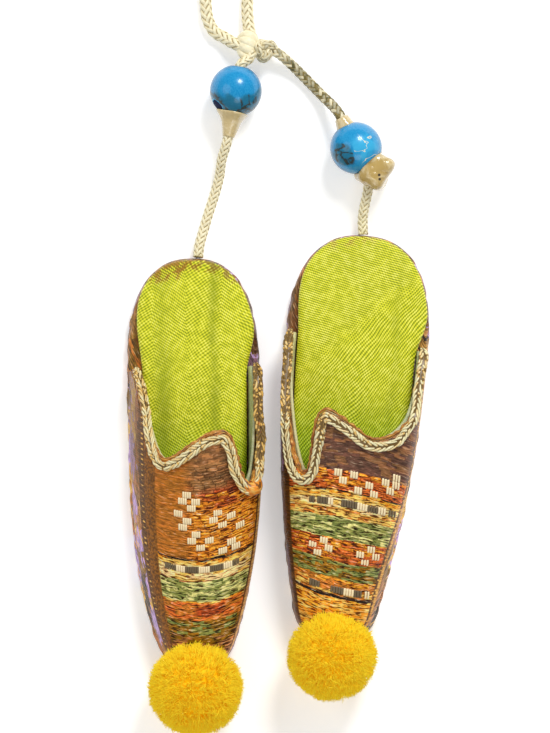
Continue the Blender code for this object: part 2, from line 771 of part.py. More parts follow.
def make_slipper(shape):
    """All the pieces of one slipper, under an empty at its heel."""
    place = bpy.data.objects.new(f"{shape.name}_place", None)
    place.location = (shape.heel_x, shape.heel_y, 0.0)
    place.rotation_euler.z = shape.turn
    PIECES.objects.link(place)
    make_sole(shape, place)
    make_insole(shape, place)
    make_upper(shape, place)
    make_lining(shape, place)
    make_braid(shape, place)
    make_pompom(shape, place)


for old in list(bpy.data.objects):
    bpy.data.objects.remove(old)
PIECES = bpy.data.collections.new("slipper_ornament_pair")
CUTTERS = bpy.data.collections.new("cutters")
bpy.context.scene.collection.children.link(PIECES)
bpy.context.scene.collection.children.link(CUTTERS)

BROCADE = material("brocade", (0.22, 0.14, 0.10))
RIBBON = material("lime ribbon", (0.52, 0.60, 0.03), 0.4)
UPPER_CLOTH = material("woven upper", (0.40, 0.17, 0.05), 0.5)
LINING_CLOTH = material("pale lining", (0.55, 0.56, 0.40))
BRAID = material("gimp braid", (0.50, 0.40, 0.20), 0.5)
YARN = material("yellow yarn", (0.80, 0.50, 0.02), 0.8)
CORD = material("cream cord", (0.62, 0.55, 0.38), 0.5)
STONE = material("turquoise bead", (0.02, 0.35, 0.45), 0.2)
GLUE = material("amber glue", (0.70, 0.52, 0.25), 0.3)

make_slipper(LEFT)
make_slipper(RIGHT)
make_cords()
make_bead("left_bead", LEFT_BEAD, LEFT_AXIS)
make_bead("right_bead", RIGHT_BEAD, RIGHT_AXIS)
make_left_glue()
make_right_glue()
make_glue_scrap()
make_knot()
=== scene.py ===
"""Looks of the pair of miniature slipper ornaments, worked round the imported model.

The add-on's panel lists the sizes and colours, and one operator makes each kind of piece. Surfaces
are worked out as whole numpy arrays. Lengths are in metres, and +Z is up.
"""

import math

import bpy
import numpy as np
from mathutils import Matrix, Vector


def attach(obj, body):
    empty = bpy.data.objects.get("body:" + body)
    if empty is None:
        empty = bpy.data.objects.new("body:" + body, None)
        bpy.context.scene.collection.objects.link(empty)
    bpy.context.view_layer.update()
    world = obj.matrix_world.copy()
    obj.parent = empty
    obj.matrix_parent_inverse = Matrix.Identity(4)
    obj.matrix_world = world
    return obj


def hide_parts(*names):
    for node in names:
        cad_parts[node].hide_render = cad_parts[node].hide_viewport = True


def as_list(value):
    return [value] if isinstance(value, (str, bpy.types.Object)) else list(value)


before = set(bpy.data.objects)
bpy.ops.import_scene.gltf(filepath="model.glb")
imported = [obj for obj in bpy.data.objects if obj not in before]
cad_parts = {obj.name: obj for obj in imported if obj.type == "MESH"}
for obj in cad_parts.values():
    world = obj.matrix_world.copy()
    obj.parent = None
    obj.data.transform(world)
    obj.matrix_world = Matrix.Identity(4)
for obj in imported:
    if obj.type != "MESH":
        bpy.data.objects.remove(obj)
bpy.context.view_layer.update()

bl_info = {
    "name": "Miniature slipper ornaments",
    "version": (1, 0, 0),
    "blender": (4, 5, 0),
    "location": "3D View > Sidebar > Ornament",
    "description": "Makes a pair of miniature slippers with their cord, beads and pompoms",
    "category": "Object",
}

MM = 0.001
FLOOR_REACH = 1.5

# Form of the sole's outline, as shares of the slipper's length
HEEL_SHARE = 0.26
HEEL_POWER = 2.45
TOE_SHARE = 0.10
TAPER = {"left": (0.695, 3.64), "right": (0.56, 2.10)}

# Form of the upper: how its ridge falls to the toe, how it leans to the inner side, and how much
# further its inner and outer sides flare out
RIDGE_START = 0.40
RIDGE_FALL = 0.62
RIDGE_POWER = 1.15
RIDGE_TOE_SHARE = 0.12
ARCH_SIDE_POWER = 0.85
ARCH_TOP_POWER = 0.80
UPPER_LEAN = 0.25
FLARES = {"left": (0.06, 0.0), "right": (-0.04, 0.38)}
FLARE_ANGLE = 60.0
FLARE_END = 0.85
FLARE_FADE = 0.30

# The insole steps in before the upper's wings, and ends inside the toe, as shares of length
INSOLE_STEPS = {
    "left": {"outer": (0.05, 0.28), "inner": (0.15, 0.28)},
    "right": {"outer": (0.17, 0.29), "inner": (0.05, 0.26)},
}
INSOLE_END = 0.80
INSOLE_END_SHARE = 0.12

# Mouth edge, from the outer wing over the tongue to the inner wing.
# Each point is an angle round the arch in degrees and a share of the length from the heel.
MOUTH = {
    "left": [
        (-90, 0.265), (-84, 0.266), (-75, 0.305), (-62, 0.390), (-46, 0.462), (-30, 0.468),
        (-12, 0.438), (2, 0.413), (12, 0.412), (19, 0.445), (24, 0.490), (30, 0.522),
        (36, 0.530), (45, 0.520), (54, 0.480), (64, 0.400), (76, 0.300), (84, 0.258), (90, 0.256),
    ],
    "right": [
        (-90, 0.268), (-84, 0.269), (-76, 0.305), (-66, 0.370), (-53, 0.428), (-38, 0.470),
        (-23, 0.486), (-9, 0.456), (1, 0.430), (8, 0.427), (12, 0.452), (15, 0.500), (17, 0.548),
        (22, 0.574), (31, 0.572), (43, 0.520), (57, 0.420), (71, 0.320), (84, 0.250), (90, 0.247),
    ],
}

# Along the mouth, in degrees round the arch: where the braid and the roll end, the stretch on
# which the braid moves up to the edge and turns over it, and the notch where the roll swells
MOUTH_END = 87.0
BRAID_TURN_START = 36.0
BRAID_TURN_SPAN = 34.0
NOTCH = 40.0
NOTCH_SPAN = 8.0

# The plait of a cord: how many strands wind each way, and how many points a turn has. As shares
# of the cord's diameter: the length of a turn, the strands' distance from the middle and how it
# waves at the crossings, a strand's half sizes, and the core's radius.
PLAIT_STRANDS = 6
PLAIT_STATIONS = 44
PLAIT_PITCH = 3.5
PLAIT_RADIUS = 0.385
PLAIT_WAVE = 0.050
STRAND_WIDTH = 0.165
STRAND_THICKNESS = 0.085
PLAIT_CORE = 0.34

# The gimp: the length of one turn of a rope in millimetres, and as shares of the rope's radius,
# how far its threads lie from its middle and their half sizes
BRAID_THREADS = 3
BRAID_PITCH = 3.7
BRAID_RADIUS = 0.54
BRAID_WIDTH = 0.46
BRAID_THICKNESS = 0.42

# A fibre of yarn at its root, bend and tip: shares of the ball's radius, half widths in
# millimetres, and tones, which paint shade toward the root. The core is a share of the ball
# too.
FIBRE_PLACES = np.array([0.72, 0.88, 1.0])
FIBRE_WIDTHS = np.array([0.09, 0.09, 0.03])
FIBRE_TONES = np.array([0.4, 0.7, 1.0])
YARN_CORE = 0.85

# Counts: fibres of yarn set round a pompom, and points of a cord's middle line
FIBRES = 13000
CORD_POINTS = 700

# Small distances: air between glue and what it holds, more air round the lining, the rounded lip
# of a bead's bore, and how far the poles of a pad stand out
GLUE_AIR = 0.0001
LINING_AIR = 0.0001
BEAD_LIP = 0.00025
POLE = 0.00002

# Places of the cord, in metres, as in the solids
LEFT_BEAD = np.array((-0.0082, 0.0757, 0.0051))
LEFT_AXIS = np.array((0.17, 0.985, 0.0)) / math.hypot(0.17, 0.985)
RIGHT_BEAD = np.array((0.0149, 0.0647, 0.0051))
RIGHT_AXIS = np.array((-0.440, 0.898, 0.0)) / math.hypot(0.440, 0.898)
KNOT = np.array((-0.0038, 0.0840, 0.0029))
KNOT_AXIS = np.array((0.975, -0.222, 0.0))
GLUE_LUMP_OFFSET = (0.0034, -0.0042, -0.0003)
GLUE_LUMP_RADII = (0.0031, 0.0034, 0.0030)
GLUE_LUMP_TURN = math.radians(-25.0)
GLUE_CONE_RADII = (0.0031, 0.0021, 0.0013)
# Two small holes in the lump of glue, painted as dark spots of shade
GLUE_HOLE_SPOTS = [(0.0193, 0.0594), (0.0194, 0.0586)]
LEFT_ROUTE_START = [
    (-0.0144, 0.0492, 0.0012), (-0.0134, 0.0526, 0.0011), (-0.0123, 0.0560, 0.0012),
    (-0.0114, 0.0594, 0.0018), (-0.0109, 0.0626, 0.0036),
]
LEFT_ROUTE_END = [(-0.0057, 0.0819, 0.0041), (-0.0050, 0.0833, 0.0038)]
RIGHT_ROUTE_START = [(0.0164, 0.0526, 0.0032), (0.0172, 0.0566, 0.0045)]
RIGHT_ROUTE_END = [
    (0.0106, 0.0727, 0.0040), (0.0084, 0.0750, 0.0020), (0.0058, 0.0777, 0.0012),
    (0.0031, 0.0804, 0.0015), (0.0006, 0.0826, 0.0027), (-0.0010, 0.0836, 0.0032),
]
LOOP_ROUTE = [
    (-0.0058, 0.0842, 0.0036), (-0.0083, 0.0849, 0.0027), (-0.0104, 0.0862, 0.0016),
    (-0.0124, 0.0874, 0.0013), (-0.0137, 0.0899, 0.0013), (-0.0141, 0.0932, 0.0013),
    (-0.0146, 0.0985, 0.0013), (-0.0151, 0.1050, 0.0013), (-0.0151, 0.1110, 0.0013),
    (-0.0134, 0.1157, 0.0013), (-0.0099, 0.1176, 0.0013), (-0.0064, 0.1157, 0.0013),
    (-0.0047, 0.1110, 0.0013), (-0.0048, 0.1050, 0.0013), (-0.0056, 0.0985, 0.0013),
    (-0.0060, 0.0932, 0.0013), (-0.0059, 0.0896, 0.0016), (-0.0055, 0.0871, 0.0023),
    (-0.0048, 0.0853, 0.0030),
]

# The woven bands run across the slipper in curved rows. across is the place from which a row is
# measured. top and foot are two places along the slipper, in millimetres, each with the slope and
# the bend of the rows there: how far they drift toward the toe for each millimetre, and for each
# millimetre squared, away from across.
BAND_CURVE = {
    "left": {"across": 0.6, "top": (40.0, 0.0, -0.025), "foot": (72.0, 0.0, -0.030)},
    "right": {"across": 0.0, "top": (50.0, 0.094, 0.0078), "foot": (66.0, 0.173, -0.0114)},
}

# Weaver's drafts of the floats that lie on the vamp. A row of a draft is a row of the cloth, # is
# a cream thread, o is a dark one, and a space is bare ground. Before the rows stand the place of
# the first thread across the slipper, that of the first row along it from the heel, the width of
# a thread and the length of a row, in millimetres.
DRAFTS = {
    "left": [
        (-3.75, 44.8, 0.42, 1.25, [
            "    ####",
            "  ####  ####",
            "      ####",
            "####              ####",
            "    ####        ####    ####",
            "  ####              ####",
            "        ####                ####",
            "      ####    ####",
            "          ####          ####",
            "                    ####  ####",
        ]),
        (-5.6, 59.1, 0.43, 1.25, ["ooooo####oooooo#####oooooo####ooo"]),
    ],
    "right": [
        (-2.5, 43.7, 0.51, 1.40, [
            "                      ###",
            "###   ###         ### ###",
            "  ###       ###     ###",
            "        ###   ###",
        ]),
        (-6.8, 50.8, 0.51, 1.45, ["oo oooo##   oooooo####oooo### ooo"]),
        (-6.2, 58.7, 0.51, 1.30, [
            "    ###               ###",
            "###   ###         ###   ###",
            "  ###               ###",
        ]),
        (-5.5, 67.5, 0.51, 1.45, ["oooo    ooooo####ooo ##"]),
    ],
}


def amount(label, words, default, **more):
    """A number that the user may set."""
    return bpy.props.FloatProperty(name=label, description=words, default=default, **more)


def size(label, words, default):
    """A length that the user may set, in metres."""
    return amount(label, words, default, min=0.0, precision=5, unit="LENGTH")


def turn(label, words, degrees):
    """An angle that the user may set."""
    return amount(label, words, math.radians(degrees), unit="ROTATION")


def colour(label, words, default):
    """A colour that the user may set."""
    return bpy.props.FloatVectorProperty(
        name=label, description=words, default=default, size=3, min=0.0, max=1.0, subtype="COLOR"
    )


class OrnamentSizes(bpy.types.PropertyGroup):
    """Sizes of the slippers, the cord and what hangs on it."""

    left_length: size("Left length", "Heel to toe of the left sole", 0.0825)
    right_length: size("Right length", "Heel to toe of the right sole", 0.0810)
    left_width: size("Left width", "Widest place of the left sole", 0.0254)
    right_width: size("Right width", "Widest place of the right sole", 0.0276)
    left_turn: turn("Left turn", "How far the left slipper is turned", 0.6)
    right_turn: turn("Right turn", "How far the right slipper is turned", -4.6)
    pair_gap: size("Gap of the pair", "Between the widest places of the soles", 0.0040)
    heel_step: size("Heel step", "How far the right heel lies ahead", 0.0044)
    sole_thickness: size("Sole thickness", "Card core with its cloth", 0.0034)
    insole_thickness: size("Insole thickness", "Padded ribbon insole", 0.0020)
    insole_margin: size("Insole margin", "Sole left bare round the heel", 0.0003)
    gap: size("Gap", "Air between neighbouring layers", 0.0003)
    upper_height: size("Upper height", "Ridge over its foot at the instep", 0.0130)
    upper_thickness: size("Upper thickness", "Stiffened cloth of the upper", 0.0009)
    upper_setback: size("Upper setback", "Upper's foot inside the sole's edge", 0.0004)
    lining_thickness: size("Lining thickness", "Cloth of the lining", 0.0005)
    braid_width: size("Braid width", "Both rows of the gimp together", 0.0020)
    braid_setback: size("Braid setback", "Braid's middle below the mouth's edge", 0.0010)
    left_pompom: size("Left pompom", "Diameter of the left pompom", 0.0180)
    right_pompom: size("Right pompom", "Diameter of the right pompom", 0.0170)
    pompom_lift: size("Pompom lift", "Pompom's body over the surface below", 0.0003)
    cord_diameter: size("Cord diameter", "Cords from the heels to the knot", 0.0020)
    loop_diameter: size("Loop cord diameter", "Cord of the hanging loop", 0.0024)
    bead_diameter: size("Bead diameter", "Round bead", 0.0100)
    bead_bore: size("Bead bore", "Hole through a bead", 0.0030)
    left_glue_length: size("Left glue", "Length of the cone of glue", 0.0044)
    knot_length: size("Knot length", "Knot along its axis", 0.0086)
    knot_diameter: size("Knot diameter", "Knot across its axis", 0.0056)


class OrnamentColours(bpy.types.PropertyGroup):
    """Colours of the cloth, the yarn, the cord and the beads."""

    ribbon_light: colour("Ribbon light", "Raised ribs of the insole", (0.86, 0.84, 0.035))
    ribbon_dark: colour("Ribbon dark", "Painted shade between ribs and in creases", (0.27, 0.33, 0.003))
    ribbon_glint: colour("Ribbon glint", "Painted highlights on the insole's ribs", (1.0, 0.97, 0.22))
    ribbon_vamp_shade: colour("Ribbon vamp shade", "Painted shade on the insole below the vamp", (0.52, 0.78, 0.45))
    copper: colour("Copper", "Satin ground of the vamp", (0.47, 0.17, 0.018))
    orange: colour("Orange", "Bright floats of the vamp", (1.0, 0.33, 0.02))
    rust: colour("Rust", "Red-brown floats", (0.36, 0.06, 0.008))
    gold: colour("Gold", "Gold threads", (0.86, 0.48, 0.09))
    straw: colour("Straw", "Pale gold threads", (0.96, 0.61, 0.25))
    cream: colour("Cream", "Woven figures and pale threads", (0.97, 0.85, 0.55))
    green: colour("Green", "Green bands", (0.20, 0.25, 0.055))
    sage: colour("Sage", "Lighter floats of the green bands", (0.52, 0.56, 0.18))
    olive: colour("Olive", "Olive bands", (0.23, 0.125, 0.005))
    scarlet: colour("Scarlet", "Orange-red band", (0.68, 0.15, 0.02))
    maroon: colour("Maroon", "Dark cloth below the tongue", (0.40, 0.19, 0.06))
    plum: colour("Plum", "Dark purple-brown cloth", (0.135, 0.065, 0.04))
    umber: colour("Umber", "Outlines and dark dashes", (0.035, 0.019, 0.009))
    dash: colour("Dash", "Dark blocks of the gold rows", (0.12, 0.09, 0.05))
    lilac: colour("Lilac", "Purple threads of the side band", (0.46, 0.34, 0.62))
    braid_light: colour("Braid light", "Crowns of the gimp", (1.0, 0.93, 0.56))
    braid_dark: colour("Braid dark", "Painted shade between threads, and dark threads", (0.16, 0.088, 0.017))
    braid_deep: colour("Braid deep", "Gimp along the wings", (0.80, 0.48, 0.11))
    lining_sage: colour("Lining sage", "Pale green lining", (0.50, 0.56, 0.33))
    lining_cream: colour("Lining cream", "Cream lining", (0.80, 0.74, 0.40))
    yarn_light: colour("Yarn light", "Tips of the pompoms", (1.0, 0.76, 0.03))
    yarn_root_shade: colour("Yarn root shade", "Painted shade at the roots of the pompoms", (0.98, 0.54, 0.001))
    cord_light: colour("Cord light", "Satin threads of the cord", (1.0, 0.93, 0.66))
    cord_dark: colour("Cord dark", "Shade between the cord's threads", (0.50, 0.34, 0.08))
    cord_metal: colour("Cord metal", "Darker stretch of the right cord", (0.10, 0.09, 0.02))
    bead_blue: colour("Bead blue", "Glaze of the beads", (0.001, 0.245, 0.54))
    bead_pale: colour("Bead pale", "Lighter specks and painted highlight of the beads", (0.04, 0.43, 0.74))
    bead_deep: colour("Bead deep", "Ground of the marbled patches", (0.008, 0.13, 0.20))
    bead_dark: colour("Bead dark", "Veins of the marbled patches", (0.018, 0.034, 0.036))
    bead_side_shade: colour("Bead side shade", "Painted shade on sides and underside", (0.001, 0.12, 0.30))
    glue_amber: colour("Glue", "Set glue", (0.50, 0.34, 0.10))
    floor: colour("Floor", "Surface that the pair lies on", (0.90, 0.90, 0.90))


class OrnamentStage(bpy.types.PropertyGroup):
    """The view from above and the light."""

    view_height: size("View height", "Length of the object plane that the view takes in", 0.141)
    camera_height: size("Camera height", "Camera over the middle of the pieces", 0.90)
    view_x: amount("View X", "Middle of the view", -0.00067, unit="LENGTH")
    view_y: amount("View Y", "Middle of the view", 0.02269, unit="LENGTH")
    key_power: amount("Key power", "Soft light from the upper right", 3.6, unit="POWER")
    fill_power: amount("Fill power", "Soft light from the left and below", 0.9, unit="POWER")
    floor_glow: amount("Floor glow", "Light of a white table lit from below", 0.35, min=0.0)
    sky: amount("Sky", "Even light from all round", 0.35, min=0.0)


def sizes():
    """The sizes in use."""
    return bpy.context.scene.ornament_sizes


def colours():
    """The colours in use."""
    return bpy.context.scene.ornament_colours


class Slipper:
    """One slipper's sizes. side is +1 where its inner side is toward +X and -1 where it is toward
    -X; the surfaces are worked out with x toward the inner side, and then mirrored by side."""

    def __init__(self, name):
        given = sizes()
        self.name = name
        self.side = 1 if name == "left" else -1
        self.length = getattr(given, f"{name}_length")
        self.width = getattr(given, f"{name}_width")
        self.turn = getattr(given, f"{name}_turn")
        self.pompom = getattr(given, f"{name}_pompom")
        self.taper, self.taper_power = TAPER[name]
        self.inner_flare, self.outer_flare = FLARES[name]
        self.mouth = MOUTH[name]


def slippers():
    """The two slippers side by side: the widest places of their soles stand a gap apart, and the
    middle of the pair is at the origin."""
    left, right = Slipper("left"), Slipper("right")
    reach = []
    for shape in (left, right):
        swing = abs(math.sin(shape.turn)) * RIDGE_START * shape.length
        shape.heel_x = -shape.side * (sizes().pair_gap / 2 + shape.width / 2 + swing)
        reach.append(abs(shape.heel_x) + shape.width / 2 - swing / 2)
    middle = (reach[1] - reach[0]) / 2
    left.heel_x -= middle
    right.heel_x -= middle
    left.heel_y = (left.length + left.pompom / 2 - sizes().heel_step) / 2
    right.heel_y = left.heel_y + sizes().heel_step
    return left, right


def turned(vectors, angle):
    """Vectors turned about the upward direction."""
    c, s = math.cos(angle), math.sin(angle)
    return vectors @ np.array([[c, s, 0.0], [-s, c, 0.0], [0.0, 0.0, 1.0]])


def placed(shape, points):
    """Points in the slipper's own frame, moved to where the slipper lies."""
    return turned(points, shape.turn) + np.array([shape.heel_x, shape.heel_y, 0.0])


def stacked(*parts):
    """Points from grids of their parts, of which some may be a single row, column or number."""
    return np.stack(np.broadcast_arrays(*parts), axis=-1)


def unit(vectors):
    """The vectors at length one."""
    size_of = np.linalg.norm(vectors, axis=-1, keepdims=True)
    return vectors / np.maximum(size_of, 1e-12)


def smooth_step(value):
    """0 below 0, 1 above 1, and 3v^2 - 2v^3 between."""
    value = np.clip(value, 0.0, 1.0)
    return value * value * (3.0 - 2.0 * value)


def round_end(share, start, span):
    """1 up to start, then a quarter circle down to 0 at start + span."""
    run = np.clip((share - start) / span, 0.0, 1.0)
    return np.sqrt(np.clip(1.0 - run**2, 0.0, 1.0))


def half_width(shape, share):
    """Half the sole's width at a share of its length: a superellipse at the heel, a power of the
    share for the taper, and a quarter circle at the toe."""
    share = np.asarray(share, dtype=float)
    back = np.clip(1.0 - share / HEEL_SHARE, 0.0, 1.0)
    heel = (1.0 - back**HEEL_POWER) ** (1.0 / HEEL_POWER)
    run = np.clip((share - HEEL_SHARE) / (1.0 - HEEL_SHARE), 0.0, 1.0)
    taper = 1.0 - shape.taper * run**shape.taper_power
    return shape.width / 2 * heel * taper * round_end(share, 1.0 - TOE_SHARE, TOE_SHARE)


def ridge_height(share):
    """Height of the upper's ridge over its foot, falling as a power of the way to the toe."""
    run = (np.asarray(share, dtype=float) - RIDGE_START) / (1.0 - RIDGE_START)
    fall = RIDGE_FALL * np.sign(run) * np.abs(run) ** RIDGE_POWER
    return sizes().upper_height * (1.0 - fall)


def upper_points(shape, angle, share, inset):
    """Points on the upper: powers of the sine and cosine of the angle give a rounded box in
    section, from -90 at the outer foot over 0 at the ridge to 90 at the inner foot. It is sheared
    toward the inner side. inset moves the surface inward from the sole's edge."""
    given = sizes()
    turning = np.radians(np.asarray(angle, dtype=float))
    share = np.asarray(share, dtype=float)
    stretch = shape.length / (shape.length - inset)
    toe = round_end(share, 1.0 - RIDGE_TOE_SHARE, RIDGE_TOE_SHARE)
    wide = half_width(shape, share) - inset * toe
    high = (ridge_height(share) - inset + given.upper_setback) * toe
    x = wide * np.sign(np.sin(turning)) * np.abs(np.sin(turning)) ** ARCH_SIDE_POWER
    z = high * np.abs(np.cos(turning)) ** ARCH_TOP_POWER
    fade = 1.0 - smooth_step((share - FLARE_END + FLARE_FADE) / FLARE_FADE)
    inner = shape.inner_flare * smooth_step(np.degrees(turning) / FLARE_ANGLE)
    outer = shape.outer_flare * smooth_step(-np.degrees(turning) / FLARE_ANGLE)
    flare = (inner - outer) * fade
    x = x + (UPPER_LEAN + flare) * z
    y = -share * shape.length / stretch
    foot = given.sole_thickness + given.gap + UPPER_LEAN * given.upper_thickness
    return stacked(x * shape.side, y, z + foot)


def upper_normals(shape, angle, share, inset):
    """Outward directions of the upper's surface, from small steps along both parameters."""
    round_step, along_step = 0.5, 0.0015
    low = upper_points(shape, np.maximum(angle - round_step, -90.0), share, inset)
    high = upper_points(shape, np.minimum(angle + round_step, 90.0), share, inset)
    back = upper_points(shape, angle, share - along_step, inset)
    ahead = upper_points(shape, angle, np.minimum(share + along_step, 1.0), inset)
    return unit(np.cross(high - low, ahead - back) * -shape.side)


def through(points, count):
    """count points at even distances on a Catmull-Rom curve through the given points."""
    knots = np.array(points, dtype=float)
    ends = np.vstack([2 * knots[0] - knots[1], knots, 2 * knots[-1] - knots[-2]])
    steps = np.linspace(0.0, len(knots) - 1, 1200)
    index = np.minimum(steps.astype(int), len(knots) - 2)
    t = (steps - index)[:, None]
    a, b, c, d = (ends[index + offset] for offset in range(4))
    line = 0.5 * (
        2 * b + (c - a) * t + (2 * a - 5 * b + 4 * c - d) * t**2 + (3 * b - a - 3 * c + d) * t**3
    )
    return even(line, count)


def run_of(line):
    """Distance along a line of points, from its first."""
    return np.concatenate([[0.0], np.cumsum(np.linalg.norm(np.diff(line, axis=0), axis=1))])


def even(line, count, *more):
    """count points at even distances along a line, and whatever more is known along it."""
    run = run_of(line)
    places = np.linspace(0.0, run[-1], count)
    found = [
        np.stack([np.interp(places, run, values[:, k]) for k in range(values.shape[1])], axis=1)
        for values in (line, *more)
    ]
    return found if more else found[0]


def mouth_line(shape, count):
    """count angles and shares along the mouth's edge, at even distances on the slipper."""
    fine = through([(angle / 90.0, share) for angle, share in shape.mouth], 1200)
    fine[:, 0] = np.clip(fine[:, 0] * 90.0, -90.0, 90.0)
    line = upper_points(shape, *fine.T, sizes().upper_setback)
    return even(line, count, fine)[1].T


def mouth_frame(shape, last_angle):
    """Points along the mouth's edge, up to an angle on both wings, with the directions out of the
    cloth and away from the edge there, in the slipper's own frame."""
    angle, share = mouth_line(shape, 1200)
    keep = np.abs(angle) <= last_angle
    angle, share = angle[keep], share[keep]
    edge = upper_points(shape, angle, share, sizes().upper_setback)
    along = unit(np.gradient(edge, axis=0))
    ahead = upper_points(shape, angle, share + 0.002, sizes().upper_setback) - edge
    normal = unit(np.cross(along, ahead) * -shape.side)
    inward = np.cross(along, normal) * shape.side
    inward = inward * np.sign(np.sum(inward * ahead, axis=1))[:, None]
    return angle, edge, normal, inward


def end_taper(run, reach):
    """1 along a line, falling to 0 at both ends over a reach."""
    return smooth_step(run / reach) * smooth_step((run[-1] - run) / reach)


def ripple(u, v, seed):
    """A smooth uneven surface between about -1 and 1: a sum of nine sine waves of seeded
    directions and phases, with u and v in wavelengths."""
    draw = np.random.default_rng(seed)
    way = draw.uniform(0.0, 2.0 * math.pi, 9)
    pace = draw.uniform(0.5, 1.6, 9)
    phase = draw.uniform(0.0, 2.0 * math.pi, 9)
    u, v = np.asarray(u)[..., None], np.asarray(v)[..., None]
    waving = np.sin(2.0 * math.pi * pace * (u * np.cos(way) + v * np.sin(way)) + phase)
    return waving.sum(axis=-1) / math.sqrt(9 / 2.0) / 2.0


def waver(run, length, seed):
    """A ripple along a line, of waves of about a length in millimetres."""
    return ripple(run / (length * MM), 0.0 * run, seed)


def grid_faces(rows, columns, around=False):
    """Quads between neighbouring rows and columns; around joins the last column to the first."""
    row = np.arange(rows - 1)[:, None]
    column = np.arange(columns if around else columns - 1)[None, :]
    after = (column + 1) % columns
    low, high = row * columns, (row + 1) * columns
    return stacked(low + column, low + after, high + after, high + column).reshape(-1, 4)


def grid_corners(places):
    """Map places of the corners of a grid's quads, or of many grids' quads, from places of its
    points. Where a grid goes around, places has one column more than the grid has."""
    low, high = places[..., :-1, :, :], places[..., 1:, :, :]
    corners = [low[..., :-1, :], low[..., 1:, :], high[..., 1:, :], high[..., :-1, :]]
    return np.stack(corners, axis=-2).reshape(-1, 4, 2)


class Cloth:
    """Gathers surfaces into one mesh: points, faces of any number of corners, map places of the
    corners, and one tone for each point, which its material reads."""

    def __init__(self):
        self.points, self.tones, self.faces, self.places = [], [], [], []
        self.count = 0

    def add(self, points, faces, places, tone=0.0):
        """Adds points (n, 3), and lists of face arrays (m, k) with map places (m, k, 2)."""
        points = points.reshape(-1, 3)
        self.points.append(points)
        self.tones.append(np.broadcast_to(np.asarray(tone, dtype=float), (len(points),)))
        for block, spots in zip(faces, places):
            self.faces.append(block + self.count)
            self.places.append(spots)
        self.count += len(points)

    def piece(self, name, materials):
        """The mesh as an object of that name."""
        data = bpy.data.meshes.new(name)
        points = np.concatenate(self.points)
        if not np.isfinite(points).all():
            raise RuntimeError(f"{name} has points that are not numbers")
        corners = np.concatenate([block.ravel() for block in self.faces])
        sides = np.concatenate([np.full(len(block), block.shape[1]) for block in self.faces])
        data.vertices.add(len(points))
        data.vertices.foreach_set("co", points.astype(np.float32).ravel())
        data.loops.add(len(corners))
        data.loops.foreach_set("vertex_index", corners.astype(np.int32))
        data.polygons.add(len(sides))
        starts = np.concatenate([[0], np.cumsum(sides)[:-1]])
        data.polygons.foreach_set("loop_start", starts.astype(np.int32))
        data.update(calc_edges=True)
        spots = np.concatenate([block.reshape(-1, 2) for block in self.places])
        data.uv_layers.new(name="UVMap").uv.foreach_set("vector", spots.astype(np.float32).ravel())
        tone = data.attributes.new("tone", "FLOAT", "POINT")
        tone.data.foreach_set("value", np.concatenate(self.tones).astype(np.float32))
        if data.validate():
            raise RuntimeError(f"{name} has faces that are not sound")
        data.shade_smooth()
        piece = bpy.data.objects.new(name, data)
        bpy.context.scene.collection.objects.link(piece)
        for finish in materials:
            data.materials.append(finish)
        return piece


def add_tubes(cloth, centres, across, wide, thick, ring, tone=0.0):
    """Closed tubes with flat ends: around each centre (tube, station) a ring of points at
    across * wide * cos(t) + up * thick * sin(t), where up is square to across and to the tube's
    way. wide and thick are half sizes. The map's first place is a share of the way round, and its
    second is the run along the tube in millimetres."""
    way = unit(np.gradient(centres, axis=1))
    up = unit(np.cross(way, across))
    across = np.cross(up, way)
    tubes, stations = centres.shape[:2]
    t = 2.0 * math.pi * np.arange(ring) / ring
    wide = np.broadcast_to(wide, (tubes, stations))[..., None, None]
    thick = np.broadcast_to(thick, (tubes, stations))[..., None, None]
    points = centres[:, :, None] + across[:, :, None] * wide * np.cos(t)[:, None]
    points = points + up[:, :, None] * thick * np.sin(t)[:, None]
    first = np.arange(tubes)[:, None, None] * stations * ring
    quads = grid_faces(stations, ring, around=True)
    ends = np.stack([np.arange(ring)[::-1], (stations - 1) * ring + np.arange(ring)])
    run = np.linalg.norm(np.diff(centres, axis=1), axis=2).cumsum(axis=1)
    run = np.concatenate([np.zeros((tubes, 1)), run], axis=1) / MM
    around = np.linspace(0.0, 1.0, ring + 1)
    spots = stacked(around, run[..., None])
    end_spots = np.zeros((tubes * 2, ring, 2))
    tone = np.broadcast_to(np.asarray(tone, dtype=float), (tubes, stations))
    tone = np.repeat(tone.reshape(-1), ring)
    faces = [(quads[None] + first).reshape(-1, 4), (ends[None] + first).reshape(-1, ring)]
    cloth.add(points, faces, [grid_corners(spots), end_spots], tone)


def helix(line, across, up, radius, turning):
    """A line wound round another at a radius, turned by an angle at each place."""
    turning, radius = turning[..., None], np.asarray(radius)[..., None]
    return line + radius * (np.cos(turning) * across + np.sin(turning) * up)


